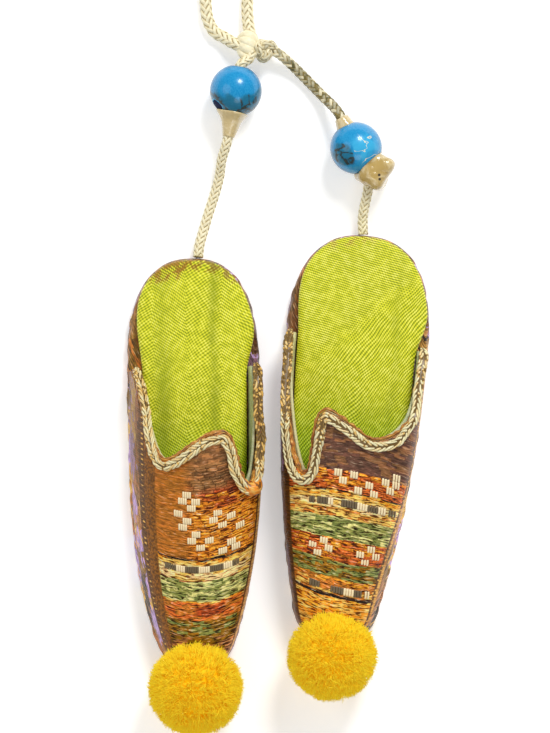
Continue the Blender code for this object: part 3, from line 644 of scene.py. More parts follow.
def add_plait(cloth, path, diameter, shade=None):
    """A round plaited cord: six flat strands wind one way and six the other, each over two and
    under two, round a core. The radius of a strand waves with the crossings. shade(share) gives
    the tone along the cord, which its strands take up unevenly."""
    strands, pitch = PLAIT_STRANDS, PLAIT_PITCH * diameter
    line = even(path, int(run_of(path)[-1] / pitch * PLAIT_STATIONS) + 2)
    run = run_of(line)
    way = unit(np.gradient(line, axis=0))
    across = unit(np.cross(way, (0.0, 0.0, 1.0)))
    up = np.cross(across, way)
    hand = np.repeat([1.0, -1.0], strands)[:, None]
    number = np.tile(np.arange(strands), 2)[:, None]
    turning = hand * 2.0 * math.pi * run / pitch + 2.0 * math.pi / strands * number
    crossing = 2.0 * strands * run / pitch * hand + 2.0 * number
    over = hand * np.cos(math.pi / 2 * (crossing - 0.5))
    radius = diameter * (PLAIT_RADIUS + PLAIT_WAVE * over)
    centres = helix(line, across, up, radius, turning)
    middle = np.broadcast_to(line, centres.shape)
    flat = unit(np.cross(centres - middle, unit(np.gradient(centres, axis=1))))
    uneven = ripple(run / (2.2 * MM) + 3.7 * number, 1.3 * hand + 0.0 * run, 55)
    tone = 0.16 * np.clip(0.5 + 0.5 * uneven, 0.0, 1.0)
    if shade is not None:
        pale = np.where(number % 3 == 1, 0.45, 1.0)
        tone = tone + shade(run / run[-1]) * pale * (0.55 + 0.65 * smooth_step(0.5 + 1.6 * uneven))
    add_tubes(cloth, centres, flat, STRAND_WIDTH * diameter, STRAND_THICKNESS * diameter, 6, tone)
    # The core is painted dark as the shade between the strands
    core = PLAIT_CORE * diameter
    add_tubes(cloth, line[None, ::3], across[None, ::3], core, core, 8, -1.0)


def add_lathe(cloth, profile, centre, axis, steps, shade, wobble=None):
    """A closed profile of (radius, along) carried round an axis. shade(points) gives the tones,
    and wobble(along share, turn) scales the radius."""
    axis = axis / np.linalg.norm(axis)
    across = unit(np.cross(axis, (0.0, 0.0, 1.0)))
    up = np.cross(across, axis)
    t = 2.0 * math.pi * np.arange(steps) / steps
    radius = profile[:, :1] + 0.0 * t
    if wobble is not None:
        radius = radius * wobble(np.linspace(0.0, 1.0, len(profile))[:, None], t[None, :])
    points = (
        centre
        + (radius * np.cos(t))[..., None] * across
        + (radius * np.sin(t))[..., None] * up
        + profile[:, 1:2, None] * axis
    )
    rows = len(profile)
    quads = grid_faces(rows + 1, steps, around=True) % (rows * steps)
    along = np.append(profile[:, 1], profile[0, 1]) / MM
    around = np.linspace(0.0, 1.0, steps + 1)
    spots = stacked(around, along[:, None])
    cloth.add(points, [quads], [grid_corners(spots)], shade(points).reshape(-1))


def add_ball(cloth, rows, steps, place_of, tone=0.0):
    """A closed ball. Its directions, by latitude and longitude with a single point at each pole,
    are carried to points by place_of."""
    down = np.linspace(0.0, math.pi, rows + 1)[1:-1, None]
    around = 2.0 * math.pi * np.arange(steps) / steps
    ways = stacked(np.sin(down) * np.cos(around), np.sin(down) * np.sin(around), np.cos(down))
    ways = np.concatenate([ways.reshape(-1, 3), [[0, 0, 1.0], [0, 0, -1.0]]])
    points = place_of(ways)
    first, last = (rows - 1) * steps, (rows - 2) * steps
    column = np.arange(steps)
    after = (column + 1) % steps
    top = stacked(first, column, after)
    low = stacked(last + column, first + 1, last + after)
    quads = grid_faces(rows - 1, steps, around=True)[:, ::-1]
    fans = np.concatenate([top, low])
    flat = points[:, :2] / MM
    cloth.add(points, [quads, fans], [flat[quads], flat[fans]], tone)


def dress(cloth, name, finishes, slot, *nodes):
    """Makes a piece, fixes it to the ornament, and lets it stand for its solids.
    slot is not used."""
    piece = cloth.piece(name, finishes)
    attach(piece, "root")
    if nodes:
        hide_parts(*nodes)
    return piece


def add_sheet(cloth, shape, angle, points, spots):
    """Adds a slipper's sheet, with its outer side outward and its angles as tones."""
    faces, corners = grid_faces(*points.shape[:2]), grid_corners(spots)
    if shape.side > 0:
        faces, corners = faces[:, ::-1], corners[:, ::-1]
    cloth.add(placed(shape, points), [faces], [corners], angle.reshape(-1))


def thicken(piece, thickness):
    """Gives a sheet its thickness, inward."""
    wall = piece.modifiers.new("cloth thickness", "SOLIDIFY")
    wall.thickness = thickness
    wall.offset = -1.0
    wall.use_even_offset = False
    return wall


class Value:
    """An output of a node. Sums with numbers and with other values add further nodes."""

    def __init__(self, tree, socket):
        self.tree = tree
        self.socket = socket

    def __add__(self, other):
        return self.tree.math("ADD", self, other)

    def __sub__(self, other):
        return self.tree.math("SUBTRACT", self, other)

    def __rsub__(self, other):
        return self.tree.math("SUBTRACT", other, self)

    def __mul__(self, other):
        return self.tree.math("MULTIPLY", self, other)

    def __rmul__(self, other):
        return self.tree.math("MULTIPLY", other, self)

    def __truediv__(self, other):
        return self.tree.math("DIVIDE", self, other)

    def __abs__(self):
        return self.tree.math("ABSOLUTE", self)


# Kinds of the sockets of node groups that aren't plain numbers
SOCKETS = {"Vector": "NodeSocketVector", "Base": "NodeSocketColor", "Colour": "NodeSocketColor"}


class Tree:
    """Adds linked nodes to the tree of a material or a node group."""

    def __init__(self, tree):
        self.tree = tree

    def add(self, kind, values=None, **settings):
        """A node of a kind with its settings, and values or links for its inputs."""
        made = self.tree.nodes.new(f"ShaderNode{kind}")
        for name, value in settings.items():
            setattr(made, name, value)
        for name, value in (values or {}).items():
            self.put(made.inputs[name], value)
        return made

    def node(self, kind, values=None, out=0, **settings):
        """An output of a new node."""
        return Value(self, self.add(kind, values, **settings).outputs[out])

    def put(self, socket, value):
        """Links an output to a socket, or sets the socket's own value."""
        if isinstance(value, Value):
            self.tree.links.new(value.socket, socket)
        elif socket.type == "RGBA":
            socket.default_value = (*value[:3], 1.0)
        else:
            socket.default_value = value

    def named(self, node):
        """All outputs of a node by their names."""
        return {socket.name: Value(self, socket) for socket in node.outputs}

    def math(self, operation, a, b=0.0):
        """One sum or function of two values."""
        return self.node("Math", {0: a, 1: b}, operation=operation)

    def most(self, a, b):
        """The larger of two values."""
        return self.math("MAXIMUM", a, b)

    def wave(self, value, pitch=1.0, function="SINE"):
        """A wave that comes round once in each pitch."""
        return self.math(function, value * (2.0 * math.pi / pitch))

    def mix(self, share, a, b, blend="MIX"):
        """Two colours mixed by a share."""
        values = {0: share, 6: a, 7: b}
        return self.node("Mix", values, 2, data_type="RGBA", blend_type=blend, clamp_factor=True)

    def layers(self, base, *coats):
        """A colour with coats laid over it in turn, each of them a share and a colour."""
        for share, coat in coats:
            base = self.mix(share, base, coat)
        return base

    def noise(self, vector, scale, detail=2.0, distortion=0.0):
        """Smooth noise between 0 and 1."""
        values = {"Vector": vector, "Scale": scale, "Detail": detail, "Distortion": distortion}
        return self.node("TexNoise", values)

    def span(self, value, low, high, low_out=0.0, high_out=1.0):
        """A value carried smoothly from one span to another, and held at its ends."""
        values = {"Value": value, 1: low, 2: high, 3: low_out, 4: high_out}
        return self.node("MapRange", values, interpolation_type="SMOOTHSTEP")

    def mask(self, value, stretches):
        """1 where a value is in one of the stretches, and 0 elsewhere."""
        found = 0.0
        for low, high in stretches:
            start = self.span(value, low - 0.2, low + 0.2)
            found = self.most(start * self.span(value, high + 0.2, high - 0.2), found)
        return found

    def ramp(self, share, stops):
        """Steps of colour from places between 0 and 1."""
        made = self.add("ValToRGB", {0: share})
        made.color_ramp.interpolation = "CONSTANT"
        elements = made.color_ramp.elements
        for place, shade in stops[2:]:
            elements.new(place)
        for element, (place, shade) in zip(sorted(elements, key=lambda e: e.position), stops):
            element.position = place
            element.color = (*shade[:3], 1.0)
        return Value(self, made.outputs[0])

    def split(self, vector):
        """The three parts of a vector."""
        return list(self.named(self.add("SeparateXYZ", {0: vector})).values())

    def join(self, x, y):
        """A vector of two values."""
        return self.node("CombineXYZ", {0: x, 1: y})

    def coordinates(self, name):
        """The surface's own places: UV is the map, and Object is in metres."""
        return self.node("TexCoord", None, name)

    def tone(self):
        """The number that the mesh holds at each point."""
        return self.node("Attribute", None, "Fac", attribute_name="tone", attribute_type="GEOMETRY")

    def group(self, name, given, outputs, fill):
        """The outputs of a node group placed in this tree, which is made where it is new.
        fill(inside, inputs) gives the values of its outputs."""
        group = bpy.data.node_groups.get(name)
        if not group:
            group = bpy.data.node_groups.new(name, "ShaderNodeTree")
            for way, labels in (("INPUT", given), ("OUTPUT", outputs)):
                for label in labels:
                    kind = SOCKETS.get(label, "NodeSocketFloat")
                    group.interface.new_socket(label, in_out=way, socket_type=kind)
            inside = Tree(group)
            found = fill(inside, inside.named(group.nodes.new("NodeGroupInput")))
            ends = group.nodes.new("NodeGroupOutput").inputs
            for label, value in zip(outputs, found):
                inside.put(ends[label], value)
        return self.named(self.add("Group", given, node_tree=group))

    def bump(self, height, strength, distance):
        """A bumped normal from a height."""
        return self.node("Bump", {"Height": height, "Strength": strength, "Distance": distance})


def threads(tree, across, along, pitch, streak):
    """Threads lying side by side: a rounded ridge for each thread, made uneven along its length.
    across is the place across the threads and along the place along them, in millimetres."""

    def fill(inside, given):
        number = given["Across"] / given["Pitch"]
        uneven = inside.noise(inside.join(number, given["Along"] / given["Streak"]), 1.0, 3.0)
        ridge = inside.wave(number) * 0.5
        return ridge + uneven * 0.8, inside.span(uneven, 0.28, 0.72)

    given = {"Across": across, "Along": along, "Pitch": pitch, "Streak": streak}
    return tree.group("threads", given, ("Height", "Shade"), fill)


def blotches(tree, place, scale):
    """Uneven dye and wear: one value that drifts over the surface, and one for fine specks."""

    def fill(inside, given):
        drift = inside.noise(given["Vector"], given["Scale"])
        specks = inside.noise(given["Vector"], given["Scale"] * 9.0, 3.0)
        return inside.span(drift, 0.3, 0.7), inside.span(specks, 0.35, 0.65)

    return tree.group("blotches", {"Vector": place, "Scale": scale}, ("Drift", "Specks"), fill)


def satin(tree, base, across, along, depth):
    """Satin threads over a ground colour, with painted light drawn out along the threads: painted
    shade in the gaps, painted highlights on the crowns, broad patches of painted sheen, and a few
    pale gold painted glints. across and along are in millimetres."""

    def fill(inside, given):
        mix, span = inside.mix, inside.span
        drawn = inside.join(given["Along"] * 0.60, given["Across"] * 4.2)
        strands = inside.noise(drawn, 1.0, 3.0)
        # folds: broad patches of painted sheen
        folds = inside.noise(drawn, 0.28, 1.0)
        # Painted shade in the gaps between the threads
        dark = span(strands, 0.50, 0.41) * given["Depth"]
        colour_of = mix(dark, given["Base"], (0.13, 0.07, 0.03), "MULTIPLY")
        # Painted highlights on the crowns of the threads
        light = span(strands, 0.51, 0.58) * given["Depth"]
        colour_of = mix(light, colour_of, (1.75, 1.45, 1.50), "MULTIPLY")
        colour_of = mix(span(folds, 0.42, 0.62), colour_of, (1.35, 1.20, 1.20), "MULTIPLY")
        colour_of = mix(1.0, colour_of, (1.0, 1.0, 1.0), "DARKEN")
        # Painted glints on the brightest crowns
        glint = span(strands, 0.60, 0.67, 0.0, 0.5) * given["Depth"]
        return mix(glint, colour_of, colours().cream), strands

    given = {"Base": base, "Across": across, "Along": along, "Depth": depth}
    return tree.group("satin threads with painted sheen", given, ("Colour", "Height"), fill)


def weft_floats(tree, across, along, pitch, length):
    """Weft floats laid like bricks: each row starts at a place of its own, and each float has its
    own shade and pick. across is the place across the rows and along the place along them, in
    millimetres. Crown is 1 on top of a float and 0 in the gap round it."""

    def fill(inside, given):
        number = given["Across"] / given["Pitch"]
        row = inside.math("FLOOR", number)
        start = inside.node("TexWhiteNoise", {"W": row}, noise_dimensions="1D")
        place = given["Along"] / given["Length"] + start * 7.0
        spot = inside.join(inside.math("FLOOR", place), row)
        drawn = inside.named(inside.add("TexWhiteNoise", {"Vector": spot}, noise_dimensions="2D"))
        ridge = inside.math("PINGPONG", number, 0.5)
        end = inside.math("PINGPONG", place, 0.5)
        _, pick, _ = inside.split(drawn["Color"])
        return inside.span(ridge, 0.0, 0.28) * inside.span(end, 0.0, 0.09), drawn["Value"], pick

    given = {"Across": across, "Along": along, "Pitch": pitch, "Length": length}
    return tree.group("weft floats", given, ("Crown", "Shade", "Pick"), fill)


def brocade(tree):
    """Patches of lilac, olive, gold and dark threads, as on the cloth round the soles. The patches
    are cells drawn out along the slipper, and floats of other colours cross them."""
    hues = colours()

    def fill(inside, given):
        values = {"Vector": given["Vector"], "Scale": (300.0, 170.0, 300.0)}
        place = inside.node("Mapping", values)
        waves = inside.node("TexNoise", {"Vector": place, "Scale": 2.2}, "Color")
        bent = inside.node("VectorMath", {0: place, 1: waves}, operation="ADD")
        cells = inside.node("TexVoronoi", {"Vector": bent, "Scale": 1.0}, "Color")
        main, second, _ = inside.split(cells)
        shades = [
            (0.0, hues.umber), (0.20, hues.lilac), (0.32, hues.olive), (0.50, hues.gold),
            (0.62, hues.maroon), (0.78, hues.copper), (0.92, hues.lilac),
        ]
        x, y, z = inside.split(given["Vector"])
        slant = x * 900.0 + z * 900.0 + y * 420.0
        floats = weft_floats(inside, slant, y * 1000.0, 0.42, 1.9)
        between = abs(x + 0.001)
        shaded = inside.most(inside.span(y, 0.022, 0.030), inside.span(between, 0.010, 0.007))
        brown = inside.mix(0.20, hues.umber, hues.copper)
        crossed = inside.math("GREATER_THAN", floats["Pick"], 0.78)
        main, second = inside.ramp(main, shades), inside.ramp(second, shades)
        base = inside.layers(main, (shaded * 0.75, brown), (crossed, second))
        satiny = satin(inside, base, slant, y * 1000.0, 0.7)
        return satiny["Colour"], satiny["Height"]

    place = tree.coordinates("Object")
    return tree.group("brocade patches", {"Vector": place}, ("Colour", "Height"), fill)


# Soft cloth sheen
SHEEN = {"Sheen Weight": 0.15, "Sheen Roughness": 0.4}


def new_material(name, settings):
    """A Principled material with the shader's own settings. Returns it, its tree helper and its
    shader."""
    made = bpy.data.materials.new(name)
    made.use_nodes = True
    shader = made.node_tree.nodes["Principled BSDF"]
    for label, value in settings.items():
        shader.inputs[label].default_value = value
    return made, Tree(made.node_tree), shader


def paint(tree, shader, base, height, strength, distance):
    """Gives a shader its base colour, and the bump of a height."""
    tree.put(shader.inputs["Base Color"], base)
    tree.put(shader.inputs["Normal"], tree.bump(height, strength, distance))


def ribbon_material(shape):
    """Lime ribbon of the insole. Its ribs zigzag across the left slipper; on the right one they
    lie across it at the heel and slant toward the vamp. tone is the worn edge at the heel."""
    hues = colours()
    settings = {"Roughness": 0.45, "Specular IOR Level": 0.25}
    made, tree, shader = new_material(f"{shape.name}_ribbon", settings)
    mix, span = tree.mix, tree.span
    x, y, _ = tree.split(tree.coordinates("UV"))
    place = tree.coordinates("Object")
    blots = blotches(tree, place, 90.0)
    strength = 1.0 if shape.side > 0 else 1.35
    calm = span(tree.noise(place, 150.0, 1.0), 0.34, 0.62, 0.28 * strength, 0.40 * strength)
    x = x + (blots["Drift"] - 0.5) * 1.1
    if shape.side > 0:
        fold = tree.math("PINGPONG", x + 28.1, 6.8)
        rib = y - fold * 0.66
        wave = tree.wave(rib, 0.60)
        beads = tree.wave(x + rib * 0.43, 0.52)
        # Painted shade in the creases of the insole
        deep = crease_shade_mask(tree, x, -6.0, 3.0) * span(y, -14.0, -20.0, 0.5, 1.1)
        crease_shade = deep + crease_shade_mask(tree, x, 4.3, 1.6)
    else:
        level = tree.wave(x * 0.22 + y, 0.44)
        slant = tree.wave(x * 0.80 - y * 0.60, 0.50)
        part = span(x * 0.9 - y, 14.0, 22.0)
        wave = slant * part + level * (1.0 - part)
        beads = tree.wave(x + y * 0.60, 0.46)
        crease_shade = crease_shade_mask(tree, x, 7.5, 1.6) * 0.5
    weave = wave * calm + beads * span(y, -10.0, -38.0, 0.20, 0.28)
    height = weave + (blots["Specks"] - 0.5) * 0.24 + 0.5
    # The ribs are painted lit on their crowns and shaded between them, with painted highlights on
    # the highest threads
    base = tree.layers(
        hues.ribbon_dark, (span(height, 0.0, 0.85), hues.ribbon_light),
        (span(height, 0.80, 1.0, 0.0, 0.8) * blots["Specks"], hues.ribbon_glint),
        # Painted shade in the creases
        (crease_shade * span(tree.noise(place, 260.0), 0.3, 0.6, 0.2, 0.6), hues.ribbon_dark),
    )
    # Painted shade on the insole toward the toe, below the vamp
    base = mix(span(y, -28.0, -46.0) * 0.9, base, hues.ribbon_vamp_shade, "MULTIPLY")
    red = span(height, 0.2, 0.9, 0.0, 0.8)
    rim = tree.layers(hues.olive, (red, hues.rust), (span(x, 0.0, 3.0), hues.olive))
    tone = tree.tone()
    rubbed = (0.5 - height) * 0.6 + (blots["Specks"] - 0.5)
    worn = tone + rubbed * span(tone, 0.0, 0.4)
    base = mix(span(worn, 0.20, 0.95, 0.0, 0.85), base, rim)
    paint(tree, shader, base, height, 0.45, 0.00014)
    return made


def crease_shade_mask(tree, x, middle, reach):
    """Painted shade of a crease: 1 at a place across the insole, falling to 0 at a reach from it.
    """
    return tree.span(abs(x - middle), reach, 0.0)


# Woven bands of each vamp: where each ends, in millimetres from the heel, the colour of its
# ground, and the colour of the floats scattered in it
BANDS = {
    "left": [
        (43.6, "maroon", "umber"), (45.4, "maroon", "rust"), (57.6, "copper", "orange"),
        (57.95, "umber", "umber"), (58.7, "gold", "orange"), (61.2, "straw", "gold"),
        (61.6, "straw", "gold"), (61.9, "rust", "gold"), (65.7, "sage", "green"),
        (66.2, "gold", "orange"), (69.4, "copper", "scarlet"), (72.4, "olive", "green"),
        (85.0, "olive", "maroon"),
    ],
    "right": [
        (45.3, "plum", "maroon"), (49.0, "scarlet", "orange"), (49.4, "umber", "gold"),
        (50.4, "gold", "orange"), (52.7, "straw", "gold"), (54.2, "gold", "copper"),
        (58.3, "green", "sage"), (59.2, "orange", "rust"), (62.6, "scarlet", "orange"),
        (65.9, "green", "olive"), (67.2, "copper", "orange"), (69.2, "copper", "gold"),
        (69.6, "umber", "umber"), (85.0, "orange", "gold"),
    ],
}
BANDS_START = 36.0
BANDS_LENGTH = 50.0

# Stretches of each vamp whose floats are coarse, in millimetres from the heel
COARSE_BANDS = {"left": [(40.0, 57.5)], "right": [(45.5, 49.2), (58.5, 62.6)]}


def upper_material(shape):
    """Striped cloth of the vamp. Its bands follow the map's second place, and its floats run along
    the bands; tone tells how far round the wall a point is, and picks the seams and the side band
    there."""
    hues = colours()
    settings = {"Roughness": 0.38, "Metallic": 0.3, "Specular IOR Level": 0.2}
    made, tree, shader = new_material(f"{shape.name}_woven_upper", settings)
    mix, span = tree.mix, tree.span
    u, v, _ = tree.split(tree.coordinates("UV"))
    wall = tree.tone()
    place = tree.coordinates("Object")
    blots = blotches(tree, place, 220.0)
    ragged = tree.noise(tree.join(u * 0.5, v * 1.5), 1.0, 3.0) - 0.5
    across = v + ragged * 0.9
    floats = weft_floats(tree, across, u, 0.52, 2.1)
    share = (v + (floats["Pick"] - 0.5) * 0.35 - BANDS_START) / BANDS_LENGTH
    bands = BANDS[shape.name]
    starts = [0.0] + [(end - BANDS_START) / BANDS_LENGTH for end, _, _ in bands[:-1]]
    base, other = (
        tree.ramp(share, [(start, getattr(hues, band[k])) for start, band in zip(starts, bands)])
        for k in (1, 2)
    )
    few = tree.math("GREATER_THAN", floats["Pick"], 0.60) * span(v, 43.8, 46.0, 0.5, 1.0)
    smooth, coats = 0.0, []
    if shape.side > 0:
        upper_band = span(v, 57.6, 57.4)
        flank = span(u, 0.8, -2.6) * upper_band
        smooth = flank * 0.85
        bright = span(u, -3.5, 2.0) * span(v, 44.6, 47.5) * upper_band
        few = tree.most(few, bright * span(floats["Pick"], 0.0, 0.15))
        rosy = span(v, 49.6, 47.0) * span(v, 43.8, 45.2) * span(u, 0.5, 2.5)
        rosy = rosy * span(floats["Pick"], 0.8, 0.3)
        heart = span(u, -0.6, 0.8) * span(u, 6.4, 4.6)
        heart = heart * (span(v, 66.6, 67.0) * span(v, 68.9, 68.4))
        coats = [(rosy, hues.rust), (flank, hues.copper), (heart, hues.rust)]
    base = tree.layers(base, (few, other), *coats)
    softly = 1.0 - smooth
    coarse = softly * tree.mask(v, COARSE_BANDS[shape.name])
    low = span(floats["Shade"], 0.0, 0.5, 0.38, 0.0) * coarse
    base = mix(low, base, (0.15, 0.10, 0.06), "MULTIPLY")
    # Painted shade in the gaps round the coarse floats
    gap = span(floats["Crown"], 0.5, 0.0, 0.0, 0.58) * coarse
    base = mix(gap, base, (0.15, 0.09, 0.05), "MULTIPLY")
    depth = 1.0 - smooth * 0.6 - span(v, 45.6, 44.6, 0.0, 0.55) * softly
    satiny = satin(tree, base, across, u, depth)
    base = satiny["Colour"]
    fine = threads(tree, v, u, 0.30, 1.2)["Shade"]
    patches = brocade(tree)["Colour"]
    dots = span(tree.wave(v) + ragged * 4.5, 0.60, 0.95)
    # Painted shade on the steep outer side of the left vamp
    flank_shade = mix(span(blots["Specks"], 0.0, 1.0, 0.25, 0.75), hues.umber, hues.copper)
    strip = mix(span(fine, 0.1, 0.9), hues.copper, hues.gold)
    brown = mix(span(fine, 0.2, 0.9, 0.12, 0.40), hues.umber, hues.copper)
    if shape.side > 0:
        stitched = span(wall, -64.0, -65.0) * span(wall, -68.5, -67.0) * dots
        flecked = mix(span(v, 50.0, 44.0, 0.0, 0.6), patches, brown)
        seams = [
            (span(wall, -47.0, -49.0), flank_shade), (span(wall, -62.0, -63.5), brown),
            (stitched, hues.gold), (span(wall, -71.0, -73.0), flecked),
            (span(wall, 52.0, 53.5), brown), (span(wall, 56.0, 57.5), strip),
            (span(wall, 69.0, 72.0), hues.plum),
        ]
    else:
        seams = [
            (span(wall, -64.0, -65.5), brown), (span(wall, -65.5, -67.0) * dots, hues.gold),
            (span(wall, -69.0, -71.0), strip), (span(wall, -76.0, -78.0), patches),
            (span(wall, 45.0, 48.0), brown), (span(wall, 54.0, 60.0) * 0.7, patches),
        ]
    base = tree.layers(base, *seams)
    paint(tree, shader, base, floats["Crown"] * coarse + satiny["Height"], 0.8, 0.00020)
    return made


def edge_material():
    """Turned-in copper cloth along the mouth's edge, with gold and dark threads along it."""
    hues = colours()
    made, tree, shader = new_material("edge_cloth", {"Roughness": 0.40, **SHEEN})
    around, along, _ = tree.split(tree.coordinates("UV"))
    blots = blotches(tree, tree.coordinates("Object"), 380.0)
    strands = threads(tree, around, along, 0.10, 1.4)
    base = tree.layers(
        hues.copper, (blots["Drift"] * 0.6, hues.rust), (tree.tone() * 0.8, hues.orange),
        (tree.span(strands["Shade"], 0.50, 0.90), hues.gold),
        (tree.span(strands["Shade"], 0.40, 0.10, 0.0, 0.8), hues.umber),
    )
    paint(tree, shader, base, strands["Height"], 0.5, 0.0001)
    return made


def sole_material():
    """Brocade wrapped round the soles."""
    settings = {"Roughness": 0.45, "Metallic": 0.2, **SHEEN}
    made, tree, shader = new_material("sole_brocade", settings)
    patches = brocade(tree)
    paint(tree, shader, patches["Colour"], patches["Height"], 0.5, 0.00014)
    return made


def lining_material(shape):
    """Pale plain weave of the lining, cream on one wing and sage on the other."""
    hues = colours()
    made, tree, shader = new_material(f"{shape.name}_lining_cloth", {"Roughness": 0.7})
    u, v, _ = tree.split(tree.coordinates("UV"))
    blots = blotches(tree, tree.coordinates("Object"), 260.0)
    one = threads(tree, u, v, 0.30, 1.0)
    two = threads(tree, v, u, 0.30, 1.0)
    start, end = (20.0, -30.0) if shape.side > 0 else (-10.0, 30.0)
    base = tree.layers(
        hues.lining_sage, (tree.span(tree.tone(), start, end), hues.lining_cream),
        (blots["Drift"] * 0.35, hues.cream), (one["Shade"] * 0.25, hues.ribbon_dark),
    )
    paint(tree, shader, base, one["Height"] + two["Height"], 0.35, 0.00008)
    return made


def strand_edge_shade(tree, around, start, most):
    """A share of painted shade that grows toward both edges of a strand, from a share of its
    half width.
    """
    return tree.span(abs(tree.wave(around, 1.0, "COSINE")), start, 1.0, 0.0, most)


def strand_material(name, light, dark, deep, roughness, streak, edges):
    """Satin thread: fine filaments along each strand, which darkens toward its edges from a share
    of its half width, as painted shade. tone -1 is the core between the strands, painted dark as
    shade, 0 is the thread's own colour, 1 the deep one and 2 the dark one."""
    settings = {"Roughness": roughness, **SHEEN, "Sheen Weight": 0.2}
    made, tree, shader = new_material(name, settings)
    span = tree.span
    around, along, _ = tree.split(tree.coordinates("UV"))
    tone = tree.tone()
    fibres = threads(tree, around, along, 0.125, streak)
    blots = blotches(tree, tree.coordinates("Object"), 700.0)
    base = tree.layers(
        light, (span(fibres["Shade"], 0.0, 1.0, 0.15, 0.85) * 0.22, dark),
        (blots["Drift"] * 0.10, dark), (span(tone, 0.0, 1.0), deep),
        (span(tone, 1.1, 1.8, 0.0, 0.9), dark), (strand_edge_shade(tree, around, edges, 0.7), dark),
        (span(tone, 0.0, -1.0), dark),
    )
    paint(tree, shader, base, fibres["Height"], 0.35, 0.00005)
    return made


def yarn_material():
    """Cut yarn of the pompoms, which glows faintly in its own colour as painted light. tone grows
    from the roots to the tips, with some of it drawn for each fibre, and the roots take a deeper
    colour as painted shade."""
    hues = colours()
    # Emission makes the yarn glow faintly in its own colour: painted light
    settings = {"Roughness": 0.75, "Specular IOR Level": 0.1, "Emission Strength": 0.10}
    made, tree, shader = new_material("pompom_yarn", settings)
    blots = blotches(tree, tree.coordinates("Object"), 330.0)
    mixed = tree.tone() + blots["Drift"] * 0.25
    base = tree.mix(tree.span(mixed, 0.25, 1.05), hues.yarn_root_shade, hues.yarn_light)
    tree.put(shader.inputs["Base Color"], base)
    tree.put(shader.inputs["Emission Color"], base)
    return made


# Painted shade in the mouth of a hole in the glaze, which has no depth
BEAD_HOLE_SHADE = (0.001, 0.006, 0.05)


def bead_material():
    """Blue glaze with pale specks. tone 1 is a dark marbled patch, tone 2 the mouth of a hole,
    painted dark as its shade, and tone -1 a pale place that also stands for a painted highlight;
    the sides and the lower part are darker, as painted shade."""
    hues = colours()
    settings = {"Specular IOR Level": 0.3, "Coat Roughness": 0.07}
    made, tree, shader = new_material("bead_glaze", settings)
    span = tree.span
    place = tree.coordinates("Object")
    tone = tree.tone()
    blots = blotches(tree, place, 380.0)
    veins = tree.noise(place, 240.0, 5.0, 0.6)
    _, _, height = tree.split(place)
    pale = span(tone, 0.0, -1.0) * span(veins, 0.46, 0.60, 0.2, 1.0)
    vein = span(tone, 0.15, 0.7) * span(abs(veins - 0.52), 0.045, 0.01)
    scratch = abs(tree.noise(place, 170.0, 3.0, 0.4) - 0.48)
    scratch = span(scratch, 0.007, 0.002, 0.0, 0.85) * span(tone, -0.3, -0.7)
    base = tree.layers(
        hues.bead_blue, (blots["Specks"] * 0.34, hues.bead_pale),
        # Painted shade round the sides and the lower part of the bead
        (span(height, 0.0080, 0.0051, 0.0, 0.85), hues.bead_side_shade), (pale, hues.bead_pale),
        (span(tone, 0.15, 0.85, 0.0, 0.75), hues.bead_deep), (vein, hues.bead_dark),
        (span(tone, 1.05, 1.25), hues.bead_pale), (span(tone, 1.40, 1.60), BEAD_HOLE_SHADE),
        (scratch, hues.cream),
    )
    rough = tree.most(vein, span(tone, 1.2, 1.5, 0.0, 4.0))
    tree.put(shader.inputs["Roughness"], span(rough, 0.0, 4.0, 0.26, 0.82))
    tree.put(shader.inputs["Coat Weight"], span(tone, 1.2, 1.5, 0.35, 0.0))
    paint(tree, shader, base, veins, 0.05, 0.0004)
    return made


def glue_material():
    """Set amber glue, cloudy and glossy, with two small holes painted as dark spots of shade."""
    hues = colours()
    settings = {"Roughness": 0.16, "Coat Weight": 0.8, "Coat Roughness": 0.08}
    made, tree, shader = new_material("set_glue", settings)
    place = tree.coordinates("Object")
    cloud = tree.noise(place, 520.0, 3.0, 1.0)
    cloudy = tree.span(cloud, 0.40, 0.75, 0.0, 0.45)
    coats = [(cloudy, hues.cream), (tree.tone() * 0.30, hues.cream)]
    flat = tree.node("VectorMath", {0: place, 1: (1.0, 1.0, 0.0)}, operation="MULTIPLY")
    for spot in GLUE_HOLE_SPOTS:
        ends = {0: flat, 1: (*spot, 0.0)}
        away = tree.node("VectorMath", ends, "Value", operation="DISTANCE")
        coats.append((tree.span(away, 0.00034, 0.00018), hues.umber))
    base = tree.layers(hues.glue_amber, *coats)
    paint(tree, shader, base, cloud, 0.5, 0.0006)
    return made


def float_material():
    """Threads of the woven figures: cream at tone 1, dark at tone 0, and darker toward their edges
    as painted shade.
    """
    hues = colours()
    made, tree, shader = new_material("woven_figures", {"Roughness": 0.42})
    around, along, _ = tree.split(tree.coordinates("UV"))
    tone = tree.tone()
    fibres = threads(tree, around, along, 0.2, 0.8)
    base = tree.layers(
        hues.dash, (tree.span(tone, 0.0, 1.0), hues.cream),
        (fibres["Shade"] * tree.span(tone, 0.0, 1.0, 0.08, 0.28), hues.gold),
        (strand_edge_shade(tree, around, 0.70, 0.8), tree.mix(tone, hues.umber, hues.copper)),
    )
    paint(tree, shader, base, fibres["Height"], 0.3, 0.00005)
    return made


